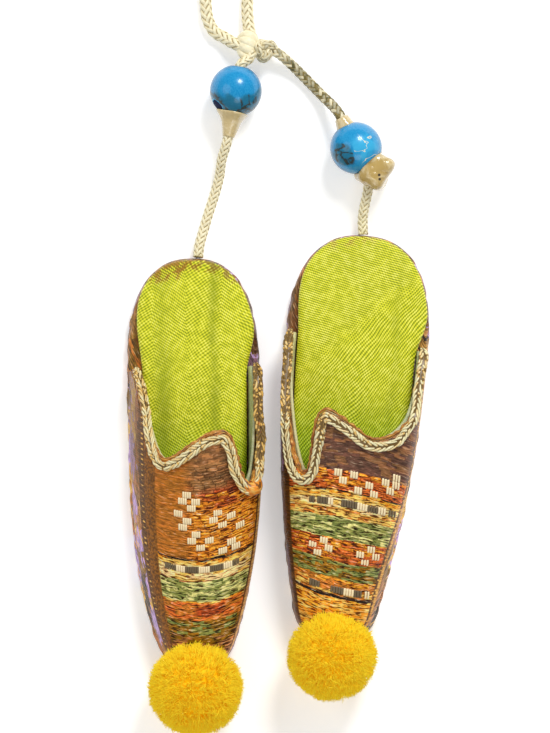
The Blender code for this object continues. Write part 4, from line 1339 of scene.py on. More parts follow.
def cord_line(name):
    """The middle line of a cord, from its exit: straight through its bead and its glue."""
    given = sizes()
    left, right = slippers()
    if name == "hanging_loop":
        return through(LOOP_ROUTE, CORD_POINTS)
    if name == "left_cord":
        x, y = left.heel_x + 0.0012, left.heel_y + given.gap
        start = [(x, y, 0.0022), (x + 0.0003, y + 0.0024, 0.0018), *LEFT_ROUTE_START]
        centre, axis, after = LEFT_BEAD, LEFT_AXIS, LEFT_ROUTE_END
        shares = (-0.98, -0.6, -0.2, 0.2, 0.50)
    else:
        x, y = right.heel_x - 0.0004, right.heel_y + given.gap
        start = [(x, y, 0.0022), (x - 0.0001, y + 0.0024, 0.0024), *RIGHT_ROUTE_START]
        centre, axis, after = RIGHT_BEAD, RIGHT_AXIS, RIGHT_ROUTE_END
        shares = (-0.58, -0.25, 0.1, 0.4, 0.70)
    straight = [tuple(centre + axis * share * given.bead_diameter) for share in shares]
    return through([*start, *straight, *after], CORD_POINTS)


def knot_frame():
    """The knot's directions: along its axis, across it and up."""
    axis = KNOT_AXIS / np.linalg.norm(KNOT_AXIS)
    return np.stack([axis, np.cross((0.0, 0.0, 1.0), axis), (0.0, 0.0, 1.0)])


def knot_ball():
    """The middle line of the plaited half of the knot: a trefoil, x = sin t + 2 sin 2t,
    y = cos t - 2 cos 2t and z = -sin 3t, drawn out across the knot and pressed flat."""
    given = sizes()
    t = np.linspace(0.0, 2.0 * math.pi, 400)
    wide = given.knot_length * 0.19
    deep = given.knot_diameter * 0.30
    x = (np.sin(t) + 2.0 * np.sin(2.0 * t)) / 3.0 * wide + given.knot_length * 0.14
    y = (np.cos(t) - 2.0 * np.cos(2.0 * t)) / 3.0 * deep
    z = -np.sin(3.0 * t) * given.knot_diameter * 0.20
    return KNOT + stacked(x, y, z) @ knot_frame()


def knot_wraps():
    """The middle lines of the smooth half of the knot: four turns of slack cord that bow up and
    outward from the loop's end of the knot to its middle."""
    given = sizes()
    t = np.linspace(0.0, 1.0, 24)
    side = np.array([-0.85, -0.28, 0.28, 0.85])[:, None]
    reach, deep = given.knot_length * 0.50, given.knot_diameter * 0.40
    x = -given.knot_length * 0.50 + reach * t + 0.0 * side
    y = side * deep * np.sin(math.pi * (0.12 + 0.80 * t)) + 0.0004 * np.cos(3.0 * t)
    z = given.knot_diameter * 0.24 * np.sin(math.pi * t) * (1.0 - 0.55 * side**2)
    return KNOT + stacked(x, y, z) @ knot_frame()


def cord_material():
    """Cream satin thread of the cords and the knot."""
    hues = colours()
    return strand_material(
        "cord_satin", hues.cord_light, hues.cord_dark, hues.cord_metal, 0.38, 0.9, 0.80
    )


class ORNAMENT_OT_stage(bpy.types.Operator):
    """Makes the camera, the soft light and the floor"""

    bl_idname = "ornament.stage"
    bl_label = "Stage"

    def execute(self, context):
        scene, stage = context.scene, context.scene.ornament_stage
        middle = Vector((stage.view_x, stage.view_y, 0.005))
        camera = bpy.data.objects.new("camera", bpy.data.cameras.new("camera"))
        camera.data.lens = camera.data.sensor_width * stage.camera_height / stage.view_height
        camera.data.clip_start, camera.data.clip_end = 0.05, 10.0
        camera.location = middle + Vector((0.0, 0.0, stage.camera_height))
        scene.collection.objects.link(camera)
        scene.camera = camera
        lamps = {
            "key": (stage.key_power, (0.20, 0.50, 0.50), 0.24),
            "fill": (stage.fill_power, (-0.46, 0.10, 0.50), 0.50),
            "rim": (stage.fill_power, (0.10, -0.50, 0.55), 0.40),
        }
        for name, (power, place, width) in lamps.items():
            lamp = bpy.data.objects.new(name, bpy.data.lights.new(name, "AREA"))
            lamp.data.energy = power
            lamp.data.shape = "DISK"
            lamp.data.size = width
            lamp.location = middle + Vector(place)
            lamp.rotation_euler = (-Vector(place)).to_track_quat("-Z", "Y").to_euler()
            scene.collection.objects.link(lamp)
        world = bpy.data.worlds.new("studio")
        world.use_nodes = True
        background = world.node_tree.nodes["Background"]
        background.inputs["Color"].default_value = (1.0, 1.0, 1.0, 1.0)
        background.inputs["Strength"].default_value = stage.sky
        scene.world = world
        scene.view_settings.view_transform = "Standard"
        cloth = Cloth()
        ends = np.array([-FLOOR_REACH, FLOOR_REACH])
        x, y = np.meshgrid(ends, ends)
        points = stacked(x, y, 0.0 * x)
        cloth.add(points, [grid_faces(2, 2)], [grid_corners(points[..., :2])])
        white = (1.0, 1.0, 1.0, 1.0)
        made, _, _ = new_material("pale_floor", {
            "Base Color": (*colours().floor, 1.0), "Roughness": 0.85,
            "Emission Color": white, "Emission Strength": stage.floor_glow,
        })
        cloth.piece("floor", [made])
        return {"FINISHED"}


class ORNAMENT_OT_cords(bpy.types.Operator):
    """Makes the two cords with their beads and glue, and the hanging loop with its knot"""

    bl_idname = "ornament.cords"
    bl_label = "Cords, beads and knot"

    def execute(self, context):
        given = sizes()
        finish = cord_material()

        def darker(share):
            fading = 1.0 - 0.6 * smooth_step((share - 0.84) / 0.10)
            return smooth_step((share - 0.47) / 0.05) * fading

        cords = {}
        for name in ("left_cord", "right_cord", "hanging_loop"):
            diameter = given.loop_diameter if name == "hanging_loop" else given.cord_diameter
            line = cord_line(name)
            cloth = Cloth()
            add_plait(cloth, line, diameter, darker if name == "right_cord" else None)
            piece = dress(cloth, f"{name}_plait", [finish], "cord", name)
            cords[name] = (piece, line, diameter)
        knot = self.knot(finish)
        glaze = bead_material()
        left_bead = self.bead("left", LEFT_BEAD, LEFT_AXIS, glaze)
        right_bead = self.bead("right", RIGHT_BEAD, RIGHT_AXIS, glaze)
        cone, flake, lump = self.glue()
        for name, stations, carried in (
            ("left_cord", 60, [left_bead, cone]),
            ("right_cord", 60, [right_bead, flake, lump]),
            ("hanging_loop", 80, [knot]),
        ):
            piece, line, diameter = cords[name]
            tuple(line[0])
            run_of(line)[-1]
            even(line, stations).tolist()
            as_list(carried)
        return {"FINISHED"}

    def knot(self, finish):
        """The knot: a plaited ball and, beside it, smooth turns of slack cord."""
        given = sizes()
        cloth = Cloth()
        add_plait(cloth, knot_ball(), given.cord_diameter * 0.92, lambda share: 0.20)
        wraps = knot_wraps()
        across = np.broadcast_to(knot_frame()[1], wraps.shape)
        swell = np.sin(math.pi * np.linspace(0.10, 0.90, wraps.shape[1]))
        add_tubes(cloth, wraps, across, 1.05 * MM * swell, 0.85 * MM * swell, 12)
        return dress(cloth, "tied_knot", [finish], "cord", "cord_knot")

    def bead(self, side, centre, axis, finish):
        """A bead: an arc from one mouth of the bore to the other, a rounded lip and the bore's
        wall, carried round the cord's axis."""
        given = sizes()
        radius, bore = given.bead_diameter / 2, given.bead_bore / 2
        start = math.asin((bore + BEAD_LIP) / radius)
        arc = np.linspace(start, math.pi - start, 40)
        outer = stacked(radius * np.sin(arc), radius * np.cos(arc))
        end = outer[-1, 1] + BEAD_LIP
        wall = stacked(bore, np.linspace(end, -end, 9))
        low_lip = np.array([[bore + 0.3 * BEAD_LIP, outer[-1, 1] + 0.1 * BEAD_LIP]])
        high_lip = low_lip * (1.0, -1.0)
        cloth = Cloth()
        profile = np.concatenate([outer, low_lip, wall, high_lip])[::-1]
        add_lathe(cloth, profile, centre, axis, 64, self.marbling(side, centre))
        return dress(cloth, f"{side}_bead_glazed", [finish], "bead", f"{side}_bead")

    def marbling(self, side, centre):
        """Tones of a bead: a dark half with an uneven border and a hole near the rim on the left
        one, its mouth painted dark as shade, and a dark patch and a pale place on the right one,
        the pale place also standing for a painted highlight."""

        def shade(points):
            place = (points - centre) / (sizes().bead_diameter / 2)
            x, y = place[..., 0], place[..., 1]
            uneven = ripple(x * 1.3, y * 1.3 + place[..., 2], 71)
            if side == "left":
                dark = smooth_step((-0.02 + 0.35 * x * x - y + 0.18 * uneven) / 0.50)
                hole = smooth_step((place @ unit(np.array((-0.72, -0.60, 0.36))) - 0.957) / 0.014)
                return dark * (1.0 - hole) + 2.0 * hole
            dark = smooth_step((0.54 - np.hypot(x + 0.55, y + 0.28) + 0.14 * uneven) / 0.25)
            # The pale place also stands for a painted highlight
            pale = smooth_step((0.66 - np.hypot(x - 0.28, y + 0.05)) / 0.35)
            return np.where(dark > 0.05, dark, -0.35 - 0.65 * pale)

        return shade

    def glue(self):
        """The cone of glue at the left bead, and the lump and the flake at the right one."""
        given = sizes()
        finish = glue_material()
        ball = given.bead_diameter / 2
        bore = given.cord_diameter / 2 + GLUE_AIR
        foot, neck, tip = GLUE_CONE_RADII
        reach = math.sqrt((ball + GLUE_AIR) ** 2 - foot**2)
        cone = [
            (bore, -reach - 0.0002), (foot - 0.0003, -reach), (foot, -reach - 0.0003),
            (neck, -reach - 0.0018), (tip, -reach - given.left_glue_length),
            (bore, -reach - given.left_glue_length - 0.0002),
        ]
        flake = [
            (bore, ball + 0.0014), (bore + 0.0002, ball + 0.0014), (bore + 0.0005, ball + 0.0002),
            (bore + 0.0007, ball - 0.0005), (bore, ball - 0.0001),
        ]
        lumps = []
        for seed, (name, corners, centre, axis, node) in enumerate((
            ("left_glue_cone", cone, LEFT_BEAD, LEFT_AXIS, "left_glue"),
            ("right_glue_flake", flake, RIGHT_BEAD, RIGHT_AXIS, "right_glue_scrap"),
        )):
            profile = through([*corners, corners[0]], 14 * len(corners))[:-1]

            def wobble(share, around, seed=seed):
                folds = ripple(np.cos(around) * 0.6 + share, np.sin(around) * 0.6, 31 + seed)
                return 1.0 + 0.11 * folds

            def shade(points):
                return np.ones(points.shape[:2])

            cloth = Cloth()
            add_lathe(cloth, profile[::-1], centre, axis, 40, shade, wobble)
            lumps.append(dress(cloth, name, [finish], "glue", node))
        lumps.append(self.glue_lump(finish))
        return lumps

    def glue_lump(self, finish):
        """The lump of glue below the right bead: a ball with flattened, uneven sides, pressed
        against the bead where it would run into it."""
        given = sizes()
        middle = RIGHT_BEAD + np.array(GLUE_LUMP_OFFSET)
        clear = given.bead_diameter / 2 + GLUE_AIR / 2

        def place_of(ways):
            sides = np.abs(ways * (1.0, 1.0, 0.9)) ** 4.2
            boxy = sides.sum(axis=1) ** (-1.0 / 4.2)
            uneven = ripple(ways[:, 0] * 0.8 + ways[:, 2] * 0.5, ways[:, 1] * 0.8, 93)
            radius = np.array(GLUE_LUMP_RADII) * (boxy * (1.0 + 0.12 * uneven))[:, None]
            points = turned(ways * radius, GLUE_LUMP_TURN) + middle
            away = points - RIGHT_BEAD
            distance = np.linalg.norm(away, axis=1, keepdims=True)
            return RIGHT_BEAD + away * np.maximum(distance, clear) / distance

        cloth = Cloth()
        add_ball(cloth, 40, 60, place_of)
        return dress(cloth, "right_glue_lump", [finish], "glue", "right_glue")


def inset_outline(shape, margin, last):
    """Half widths of the sole's outline moved inward by a margin along its normal, and the places
    along the slipper where they lie."""
    share = last * (1.0 - np.cos(np.linspace(0.0, math.pi, 4001))) / 2
    wide = half_width(shape, share)
    if last < 1.0:
        wide = wide * round_end(share, last - INSOLE_END_SHARE, INSOLE_END_SHARE)
    outline = stacked(wide, -share * shape.length)
    way = unit(np.gradient(outline, axis=0))
    outline = outline + margin(share)[:, None] * stacked(way[:, 1], -way[:, 0])
    return outline[outline[:, 0] > 0.0]


def pillow(shape, outer, inner, last, low, high, edge, crown, rows, columns):
    """A closed pad in the sole's outline, with a margin for its outer and its inner side. Its half
    thickness is a quarter circle of the distance from the edge, and its top is crowned by a
    parabola across the width. The distance is the gap across to the outline, divided by the root
    of one plus the square of the outline's slope."""
    sides = [inset_outline(shape, margin, last) for margin in (outer, inner)]
    start = min(side[:, 1].max() for side in sides)
    end = max(side[:, 1].min() for side in sides)
    run = (1.0 - np.cos(np.linspace(0.02, math.pi - 0.02, rows))) / 2
    along = start + (end - start) * run
    wides = [np.interp(-along, -side[:, 1], side[:, 0]) for side in sides]
    slopes = [np.gradient(wide, along)[:, None] for wide in wides]
    spread = np.sin(np.linspace(-1.0, 1.0, columns) * math.pi / 2)
    wide = np.where(spread < 0.0, wides[0][:, None], wides[1][:, None])
    slope = np.where(spread < 0.0, slopes[0], slopes[1])
    x = wide * spread
    inside = np.clip((wide - np.abs(x)) / np.sqrt(1.0 + slope**2) / edge, 0.0, 1.0)
    bulge = np.sqrt(1.0 - (1.0 - inside) ** 2)
    middle, half = (low + high) / 2, (high - low) / 2
    dome = crown * (1.0 - (x / (shape.width / 2)) ** 2) * bulge
    across = x[:, ::-shape.side] * shape.side
    bulge, dome = bulge[:, ::-shape.side], dome[:, ::-shape.side]
    top = stacked(across, along[:, None], middle + half * bulge + dome)
    under = stacked(across, along[:, None], middle - half * bulge)
    return top, under[:, -2:0:-1]


def add_pad(cloth, shape, top, under, tone=0.0):
    """A pad's top and underside as one closed surface, with a pole at the heel and at the toe."""
    ring = np.concatenate([top, under], axis=1)
    rows, around = ring.shape[:2]
    heel = ring[0].mean(axis=0) + (0.0, POLE, 0.0)
    toe = ring[-1].mean(axis=0) - (0.0, POLE, 0.0)
    points = np.concatenate([ring.reshape(-1, 3), heel[None], toe[None]])
    column = np.arange(around)
    after = (column + 1) % around
    first, last = rows * around, (rows - 1) * around
    heel_fan = stacked(first, after, column)
    toe_fan = stacked(last + column, last + after, first + 1)
    fans = np.concatenate([heel_fan, toe_fan])
    quads = grid_faces(rows, around, around=True)
    flat = points[:, :2] / MM
    tones = np.concatenate([np.broadcast_to(tone, (rows, around)).reshape(-1), [0.0, 0.0]])
    cloth.add(placed(shape, points), [quads, fans], [flat[quads], flat[fans]], tones)


class ORNAMENT_OT_soles(bpy.types.Operator):
    """Makes the two soles, wrapped in brocade"""

    bl_idname = "ornament.soles"
    bl_label = "Soles"

    def execute(self, context):
        finish = sole_material()
        for shape in slippers():
            top, under = pillow(
                shape, np.zeros_like, np.zeros_like, last=1.0, low=0.0,
                high=sizes().sole_thickness, edge=0.0009, crown=0.0, rows=170, columns=61,
            )
            for part in (top, under):
                x, y, z = (part[..., k] / MM for k in range(3))
                share = np.clip(-y * MM / shape.length, 0.02, 0.98)
                side = np.clip(np.abs(x) * MM / np.maximum(half_width(shape, share), MM), 0.0, 1.0)
                pucker = 0.16 * ripple(y / 2.6 + np.sign(x) * 5.0, z / 2.5, 91)
                part[..., 0] += np.sign(x) * pucker * side**8 * MM
            cloth = Cloth()
            add_pad(cloth, shape, top, under)
            name = shape.name
            dress(cloth, f"{name}_wrapped_sole", [finish], "brocade", f"{name}_sole")
        return {"FINISHED"}


def insole_margins(shape):
    """How far the insole stays inside the sole's edge on its outer and its inner side: little at
    the heel, and close along the lining from where the wings begin."""
    given = sizes()
    wall = given.upper_setback + given.upper_thickness + given.lining_thickness + 2 * given.gap
    lean = max(UPPER_LEAN - shape.outer_flare, 0.0)
    lean = lean * (given.insole_thickness + given.lining_thickness)
    bare = given.insole_margin

    def margin(side, full):
        start, end = INSOLE_STEPS[shape.name][side]
        return lambda share: bare + (full - bare) * smooth_step((share - start) / (end - start))

    return margin("outer", wall + lean), margin("inner", wall)


class ORNAMENT_OT_insoles(bpy.types.Operator):
    """Makes the two padded insoles, covered with lime ribbon"""

    bl_idname = "ornament.insoles"
    bl_label = "Insoles"

    def execute(self, context):
        given = sizes()
        low = given.sole_thickness + given.gap
        for shape in slippers():
            top, under = pillow(
                shape, *insole_margins(shape), last=INSOLE_END, low=low,
                high=low + given.insole_thickness, edge=0.0013, crown=0.0003, rows=170, columns=77,
            )
            x, y = top[..., 0] / MM, top[..., 1] / MM
            creases = [(-5.9, 1.6, 0.16), (4.4, 1.5, 0.11), (-1.2, 0.5, 0.04)]
            if shape.side < 0:
                creases = [(7.2, 1.2, 0.10), (-7.5, 1.0, 0.08)]
            for middle, wide, deep in creases:
                sway = middle + 0.5 * np.sin(y / 11.0)
                top[..., 2] -= deep * MM * np.exp(-(((x - sway) / wide) ** 2))
            top[..., 2] += 0.07 * MM * ripple(x / 9.0, y / 14.0, 5 + shape.side)
            share = np.clip(np.abs(x) * MM / (shape.width / 2), 0.0, 1.0) ** HEEL_POWER
            behind = HEEL_SHARE * shape.length * (1.0 - (1.0 - share) ** (1.0 / HEEL_POWER)) / MM
            worn = 0.95 - (-y - behind) / 3.6 + 0.45 * np.exp(-(((x + 3.5) / 2.5) ** 2))
            worn = worn - 0.8 * smooth_step((np.abs(x) - 7.0) / 3.0)
            tone = np.clip(worn, 0.0, 1.0) * (1.0 if shape.side > 0 else 0.35)
            tone = np.concatenate([tone, np.zeros(under.shape[:2])], axis=1)
            cloth = Cloth()
            add_pad(cloth, shape, top, under, tone)
            name, finish = shape.name, ribbon_material(shape)
            piece = dress(cloth, f"{name}_ribbon_insole", [finish], "ribbon", f"{name}_insole")
        return {"FINISHED"}


def band_place(shape, x, along):
    """Where a point lies in the woven bands, in millimetres from the heel at their middle: the
    place along the slipper less the drift of the row, a slope and a bend of the distance across,
    which change evenly from the top of the vamp to its foot."""
    curve = BAND_CURVE[shape.name]
    aside = x - curve["across"]
    (top, *start), (foot, *end) = curve["top"], curve["foot"]
    share = np.clip((along - top) / (foot - top), 0.0, 1.0)
    slope, bend = (one + (two - one) * share for one, two in zip(start, end))
    return along - slope * aside - bend * aside**2


def vamp_sheet(shape, inset, columns, rows, drop=0.0):
    """Angles, shares and points of a sheet from the mouth to the toe. Its first row follows the
    mouth's edge, set back from it by drop, and its rows close up toward the toe as a power of the
    way left to it."""
    angle, share = mouth_line(shape, columns + 1)
    share = share + drop / shape.length
    run = np.linspace(0.0, 1.0, rows + 1)[:, None]
    run[-1] = 0.9995
    reach = 1.0 - (1.0 - run) ** 1.5
    shares = share + (1.0 - share) * reach
    angles = np.repeat(angle[None, :], rows + 1, axis=0)
    return angles, shares, upper_points(shape, angles, shares, inset)


class ORNAMENT_OT_uppers(bpy.types.Operator):
    """Makes the two uppers of striped cloth, with the woven figures that lie on them"""

    bl_idname = "ornament.uppers"
    bl_label = "Uppers"

    def execute(self, context):
        given = sizes()
        edge = edge_material()
        figures = float_material()
        for shape in slippers():
            angle, share, points = vamp_sheet(shape, given.upper_setback, 170, 92)
            x, along = points[..., 0] / MM, -points[..., 1] / MM
            spots = stacked(x, band_place(shape, x, along))
            relief = 0.10 * ripple(x / 9.0, along / 9.0, 11)
            relief = relief + 0.05 * ripple(x / 3.0, along / 3.0, 12)
            relief = relief * np.clip(1.0 - np.abs(angle) / 90.0, 0.0, 1.0)
            normals = upper_normals(shape, angle, np.minimum(share, 0.995), given.upper_setback)
            points = points + normals * (relief * MM)[..., None]
            cloth = Cloth()
            add_sheet(cloth, shape, angle, points, spots)
            name, finishes = shape.name, [upper_material(shape), edge]
            piece = dress(cloth, f"{name}_vamp", finishes, "woven_upper", f"{name}_upper")
            wall = thicken(piece, given.upper_thickness)
            wall.material_offset_rim = 1
            wall.material_offset = 1
            self.figures(shape, figures)
            self.edge_roll(shape, edge)
        return {"FINISHED"}

    def edge_roll(self, shape, finish):
        """The cloth turned in along the mouth, as an uneven roll that is thicker in the notch
        beside the inner wing."""
        given = sizes()
        angle, line, normal, inward = mouth_frame(shape, MOUTH_END)
        line = line - normal * given.upper_thickness / 2
        count = int(run_of(line)[-1] / (0.3 * MM))
        line, normal, inward, angle = even(line, count, normal, inward, angle[:, None])
        angle = angle[:, 0]
        run = run_of(line)
        uneven = waver(run, 2.2, 17 + shape.side)
        notch = np.exp(-(((angle - NOTCH) / NOTCH_SPAN) ** 2)) * (1.0 if shape.side > 0 else 0.2)
        thin, low = (0.50, 0.20) if shape.side > 0 else (0.32, 0.36)
        wide = (thin + 0.10 * uneven + 1.30 * notch) * MM * (0.4 + 0.6 * end_taper(run, 2.0 * MM))
        line = line + unit(inward) * ((1.05 * notch - low - 0.10 * uneven) * MM)[:, None]
        line = line + unit(normal) * (0.6 * notch * MM)[:, None]
        cloth = Cloth()
        line, normal = placed(shape, line), turned(unit(normal), shape.turn)
        add_tubes(cloth, line[None], normal[None], wide, 0.85 * wide, 12, notch)
        dress(cloth, f"{shape.name}_edge_roll", [finish], "woven_upper")

    def figures(self, shape, finish):
        """The floats of the woven figures: each thread is a short tube that dips into the cloth at
        both ends."""
        found = []
        for first, low, thread, length, rows in DRAFTS[shape.name]:
            for row, text in enumerate(rows):
                marks = np.array(list(text))
                column = np.flatnonzero(marks != " ")
                place = first + (column + 0.5) * thread
                cream = (marks[column] == "#").astype(float)
                found.append(stacked(place, low + row * length, cream, thread, length))
        place, low, cream, thread, length = np.concatenate(found).T[..., None]
        run = np.linspace(0.02, 0.98, 7)
        x = place + 0.0 * run
        band = low + run * length
        along = band.copy()
        for _ in range(4):
            along = along + band - band_place(shape, x, along)
        points, normals = self.on_upper(shape, x, along)
        dip = np.sin(run * math.pi) ** 0.35
        points = points + normals * ((-0.10 + 0.15 * dip) * MM)[..., None]
        way = np.gradient(points, axis=1)
        across = unit(np.cross(way, normals))
        cloth = Cloth()
        across = turned(across, shape.turn)
        add_tubes(cloth, placed(shape, points), across, 0.53 * thread * MM, 0.09 * MM, 8, cream)
        dress(cloth, f"{shape.name}_woven_figures", [finish], "woven_upper")

    def on_upper(self, shape, x, along):
        """Points and normals on the upper over places in plan, in millimetres. The angle is read
        from a table of the plan's x at each angle."""
        inset = sizes().upper_setback
        share = along * MM / (shape.length - inset)
        angles = np.linspace(-88.0, 72.0, 321)
        table = upper_points(shape, angles, share[..., None], inset)[..., 0] * shape.side
        table = np.maximum.accumulate(table, axis=-1)
        wanted = (x * MM * shape.side)[..., None]
        index = np.clip((table < wanted).sum(axis=-1), 1, len(angles) - 1)
        low = np.take_along_axis(table, index[..., None] - 1, axis=-1)[..., 0]
        high = np.take_along_axis(table, index[..., None], axis=-1)[..., 0]
        part = np.clip((wanted[..., 0] - low) / np.maximum(high - low, 1e-9), 0.0, 1.0)
        angle = angles[index - 1] + (angles[index] - angles[index - 1]) * part
        return (
            upper_points(shape, angle, share, inset),
            upper_normals(shape, angle, share, inset),
        )


class ORNAMENT_OT_linings(bpy.types.Operator):
    """Makes the two linings, close inside the uppers"""

    bl_idname = "ornament.linings"
    bl_label = "Linings"

    def execute(self, context):
        given = sizes()
        inset = given.upper_setback + given.upper_thickness + given.gap + LINING_AIR
        for shape in slippers():
            angle, _, points = vamp_sheet(shape, inset, 120, 50, drop=0.0003)
            cloth = Cloth()
            add_sheet(cloth, shape, angle, points, points[..., :2] * (1.0, -1.0) / MM)
            name, finish = shape.name, lining_material(shape)
            piece = dress(cloth, f"{name}_lining_cloth", [finish], "lining", f"{name}_lining")
            thicken(piece, given.lining_thickness)
        return {"FINISHED"}


class ORNAMENT_OT_braids(bpy.types.Operator):
    """Makes the gimp braid along each mouth, of two ropes twisted opposite ways"""

    bl_idname = "ornament.braids"
    bl_label = "Braids"

    def execute(self, context):
        hues = colours()
        finish = strand_material(
            "gimp_thread", hues.braid_light, hues.braid_dark, hues.braid_deep, 0.34, 0.7, 0.88
        )
        for shape in slippers():
            line, across, tone = self.mouth(shape)
            cloth = Cloth()
            count = int(run_of(line)[-1] / (0.17 * MM))
            line, across, tone = even(line, count, across, tone[:, None])
            across, tone = unit(across), tone[:, 0]
            up = np.cross(across, unit(np.gradient(line, axis=0)))
            run = run_of(line)
            rope = sizes().braid_width / 4 * (0.30 + 0.70 * end_taper(run, 3.0 * MM))
            uneven = 1.0 + 0.20 * waver(run, 3.0, 21)
            line = line + across * (0.18 * MM * waver(run, 4.0, 23))[:, None]
            loose = 0.7 * waver(run, 2.4, 27)
            paler = 0.16 if shape.side > 0 else 0.0
            for side in (-1.0, 1.0):
                middle = line + across * (side * rope * 0.98)[:, None]
                number = np.arange(BRAID_THREADS)[:, None]
                turns = run / (BRAID_PITCH * MM) + number / BRAID_THREADS
                turning = side * (2.0 * math.pi * turns + loose)
                centres = helix(middle, across, up, BRAID_RADIUS * rope * uneven, turning)
                flat = np.broadcast_to(across, centres.shape)
                strand = ripple(run / (1.1 * MM) + 5.3 * number, side + 0.0 * run, 25)
                own = 0.30 * np.clip(strand, 0.0, 1.0) + np.array([[0.0], [0.10], [0.42]])
                own = own + 0.60 * smooth_step((tone - 0.30) / 0.3) + paler
                own = own + 2.0 * smooth_step((strand + 2.0 * tone - 1.0) / 0.4)
                own = np.clip(own, 0.0, 2.0)
                wide, thick = BRAID_WIDTH * rope * uneven, BRAID_THICKNESS * rope
                add_tubes(cloth, centres, flat, wide, thick, 6, own)
            # The core is painted dark as the shade between the threads
            core = line[None, ::4] - up[None, ::4] * (0.2 * rope[::4])[:, None]
            add_tubes(cloth, core, across[None, ::4], 1.5 * rope[::4], 0.4 * rope[::4], 6, -1.0)
            name = shape.name
            dress(cloth, f"{name}_gimp_braid", [finish], "gimp_braid", f"{name}_braid")
        return {"FINISHED"}

    def mouth(self, shape):
        """The braid's middle line, its direction across and its tone. Over the instep it lies flat
        on the upper below the edge; on the wings it turns over the edge and lies on top of it, and
        is darker."""
        given = sizes()
        angle, edge, normal, inward = mouth_frame(shape, MOUTH_END)
        way = (np.abs(angle) - BRAID_TURN_START) / BRAID_TURN_SPAN
        setback = given.braid_setback * (1.0 - smooth_step(way / 0.35))
        over = (math.pi / 2 * smooth_step((way - 0.3) / 0.4))[:, None]
        wall = given.upper_thickness + given.gap + LINING_AIR + given.lining_thickness
        shift = (wall / 2 * smooth_step((way - 0.65) / 0.35))[:, None]
        out = given.braid_width / 4 + 0.0001
        line = edge + inward * (setback[:, None] - out * np.sin(over))
        line = line + normal * (out * np.cos(over) - shift)
        across = inward * np.cos(over) + normal * np.sin(over)
        inner = smooth_step((angle - 46.0) / 14.0)
        outer = smooth_step((-angle - 60.0) / 14.0)
        patchy = 0.5 + 0.5 * waver(run_of(edge), 3.0, 61)
        tongue = 0.0 if shape.side > 0 else np.exp(-(((angle - 9.0) / 5.0) ** 2))
        tone = (0.62 * inner + 0.32 * outer + 0.55 * tongue) * (0.7 + 0.6 * patchy) + 0.12 * patchy
        return placed(shape, line), turned(across, shape.turn), tone


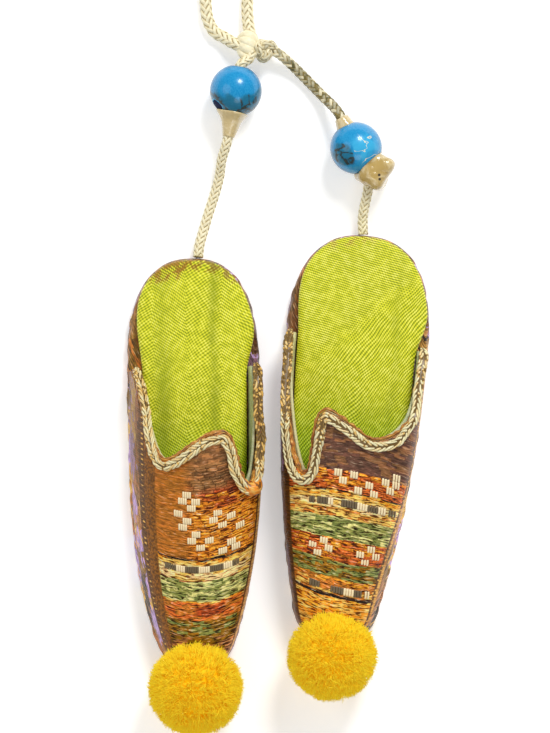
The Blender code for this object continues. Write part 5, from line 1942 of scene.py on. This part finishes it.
class ORNAMENT_OT_pompoms(bpy.types.Operator):
    """Makes the two pompoms of cut yarn"""

    bl_idname = "ornament.pompoms"
    bl_label = "Pompoms"

    def execute(self, context):
        finish = yarn_material()
        for seed, shape in enumerate(slippers()):
            cloth = Cloth()
            centre = np.array([0.0, -shape.length, shape.pompom / 2 + sizes().pompom_lift])
            self.add_fibres(cloth, shape, centre, FIBRES, 40 + seed)
            self.add_core(cloth, shape, centre)
            name = shape.name
            dress(cloth, f"{name}_yarn_pompom", [finish], "yarn", f"{name}_pompom")
        return {"FINISHED"}

    def add_fibres(self, cloth, shape, centre, count, seed):
        """Fibres spread evenly over a ball by the golden angle. Each goes out from the core with a
        lean that it shares with its tuft, and ends at an uneven length."""
        draw = np.random.default_rng(seed)
        number = np.arange(count) + 0.5
        z = 1.0 - 2.0 * number / count
        spin = number * math.pi * (3.0 - math.sqrt(5.0))
        flat = np.sqrt(1.0 - z * z)
        way = stacked(flat * np.cos(spin), flat * np.sin(spin), z)
        way = unit(way + draw.normal(0.0, 0.012, way.shape))
        x, y, z = (way * 3.6).T
        pairs = enumerate(((x, y), (y, z), (z, x)))
        tuft = stacked(*(ripple(one, two, seed + 3 + k) for k, (one, two) in pairs))
        lean = 0.26 * tuft + draw.normal(0.0, 0.12, way.shape)
        radius = shape.pompom / 2
        lengths = 1.0 + 0.018 * ripple(way[:, 0] * 2.0, way[:, 1] * 2.0 + way[:, 2], seed + 9)
        lengths = lengths + draw.normal(0.0, 0.028, count)
        bend = np.array([0.0, 0.25, 0.5])
        lines = way[:, None] * FIBRE_PLACES[:, None] + lean[:, None] * bend[:, None]
        tips = np.linalg.norm(lines[:, -1:], axis=2, keepdims=True)
        points = centre + lines / tips * lengths[:, None, None] * radius
        clear = self.clear_of_toe(shape, points[:, 1]) & (points[:, -1, 2] > 0.0001)
        points = points[clear]
        kept = len(points)
        across = unit(np.cross(points[:, -1] - points[:, 0], draw.normal(size=(kept, 3))))
        across = np.repeat(across[:, None], 3, axis=1)
        half = FIBRE_WIDTHS * MM
        tone = FIBRE_TONES + draw.normal(0.0, 0.18, (kept, 1))
        across = turned(across, shape.turn)
        add_tubes(cloth, placed(shape, points), across, half, half, 3, tone)

    def clear_of_toe(self, shape, points):
        """Whether points lie outside the toe of the sole and the upper."""
        share = np.clip(-points[:, 1] / shape.length, 0.0, 1.0)
        foot = sizes().sole_thickness + sizes().gap
        toe = round_end(share, 1.0 - RIDGE_TOE_SHARE, RIDGE_TOE_SHARE)
        high = foot + ridge_height(share) * toe
        wide = half_width(shape, share)
        lean = UPPER_LEAN * shape.side * np.maximum(points[:, 2] - foot, 0.0)
        aside = np.abs(points[:, 0] - lean)
        inside = (aside < wide) & (points[:, 2] < high) & (-points[:, 1] < shape.length)
        return ~inside

    def add_core(self, cloth, shape, centre):
        """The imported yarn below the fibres: a ball with an uneven surface."""

        def place_of(ways):
            uneven = ripple(ways[:, 0] * 2.0 + ways[:, 2], ways[:, 1] * 2.0, 77)
            radius = shape.pompom / 2 * (YARN_CORE + 0.02 * uneven)
            return placed(shape, centre + ways * radius[:, None])

        # The core takes the roots' painted shade
        add_ball(cloth, 24, 36, place_of, 0.4)


GROUPS = {
    "ornament_sizes": OrnamentSizes,
    "ornament_colours": OrnamentColours,
    "ornament_stage": OrnamentStage,
}
OPERATORS = (
    ORNAMENT_OT_stage,
    ORNAMENT_OT_cords,
    ORNAMENT_OT_soles,
    ORNAMENT_OT_insoles,
    ORNAMENT_OT_linings,
    ORNAMENT_OT_uppers,
    ORNAMENT_OT_braids,
    ORNAMENT_OT_pompoms,
)


class ORNAMENT_PT_panel(bpy.types.Panel):
    """Lists the ornament's sizes, colours and pieces"""

    bl_idname = "ORNAMENT_PT_panel"
    bl_label = "Slipper ornaments"
    bl_space_type = "VIEW_3D"
    bl_region_type = "UI"
    bl_category = "Ornament"

    def draw(self, context):
        for place, group in GROUPS.items():
            box = self.layout.box()
            box.label(text=place.removeprefix("ornament_").capitalize())
            for name in group.__annotations__:
                box.prop(getattr(context.scene, place), name)
        for operator in OPERATORS:
            self.layout.operator(operator.bl_idname)


CLASSES = (*GROUPS.values(), *OPERATORS, ORNAMENT_PT_panel)


def register():
    """Registers the classes and puts the property groups on the scene."""
    for each in CLASSES:
        bpy.utils.register_class(each)
    for place, group in GROUPS.items():
        setattr(bpy.types.Scene, place, bpy.props.PointerProperty(type=group))


def unregister():
    """Takes the property groups and the classes away again."""
    for place in GROUPS:
        delattr(bpy.types.Scene, place)
    for each in reversed(CLASSES):
        bpy.utils.unregister_class(each)


def main():
    """Makes every piece in order."""
    register()
    for operator in OPERATORS:
        group, name = operator.bl_idname.split(".")
        getattr(getattr(bpy.ops, group), name)()


if __name__ == "__main__":
    main()
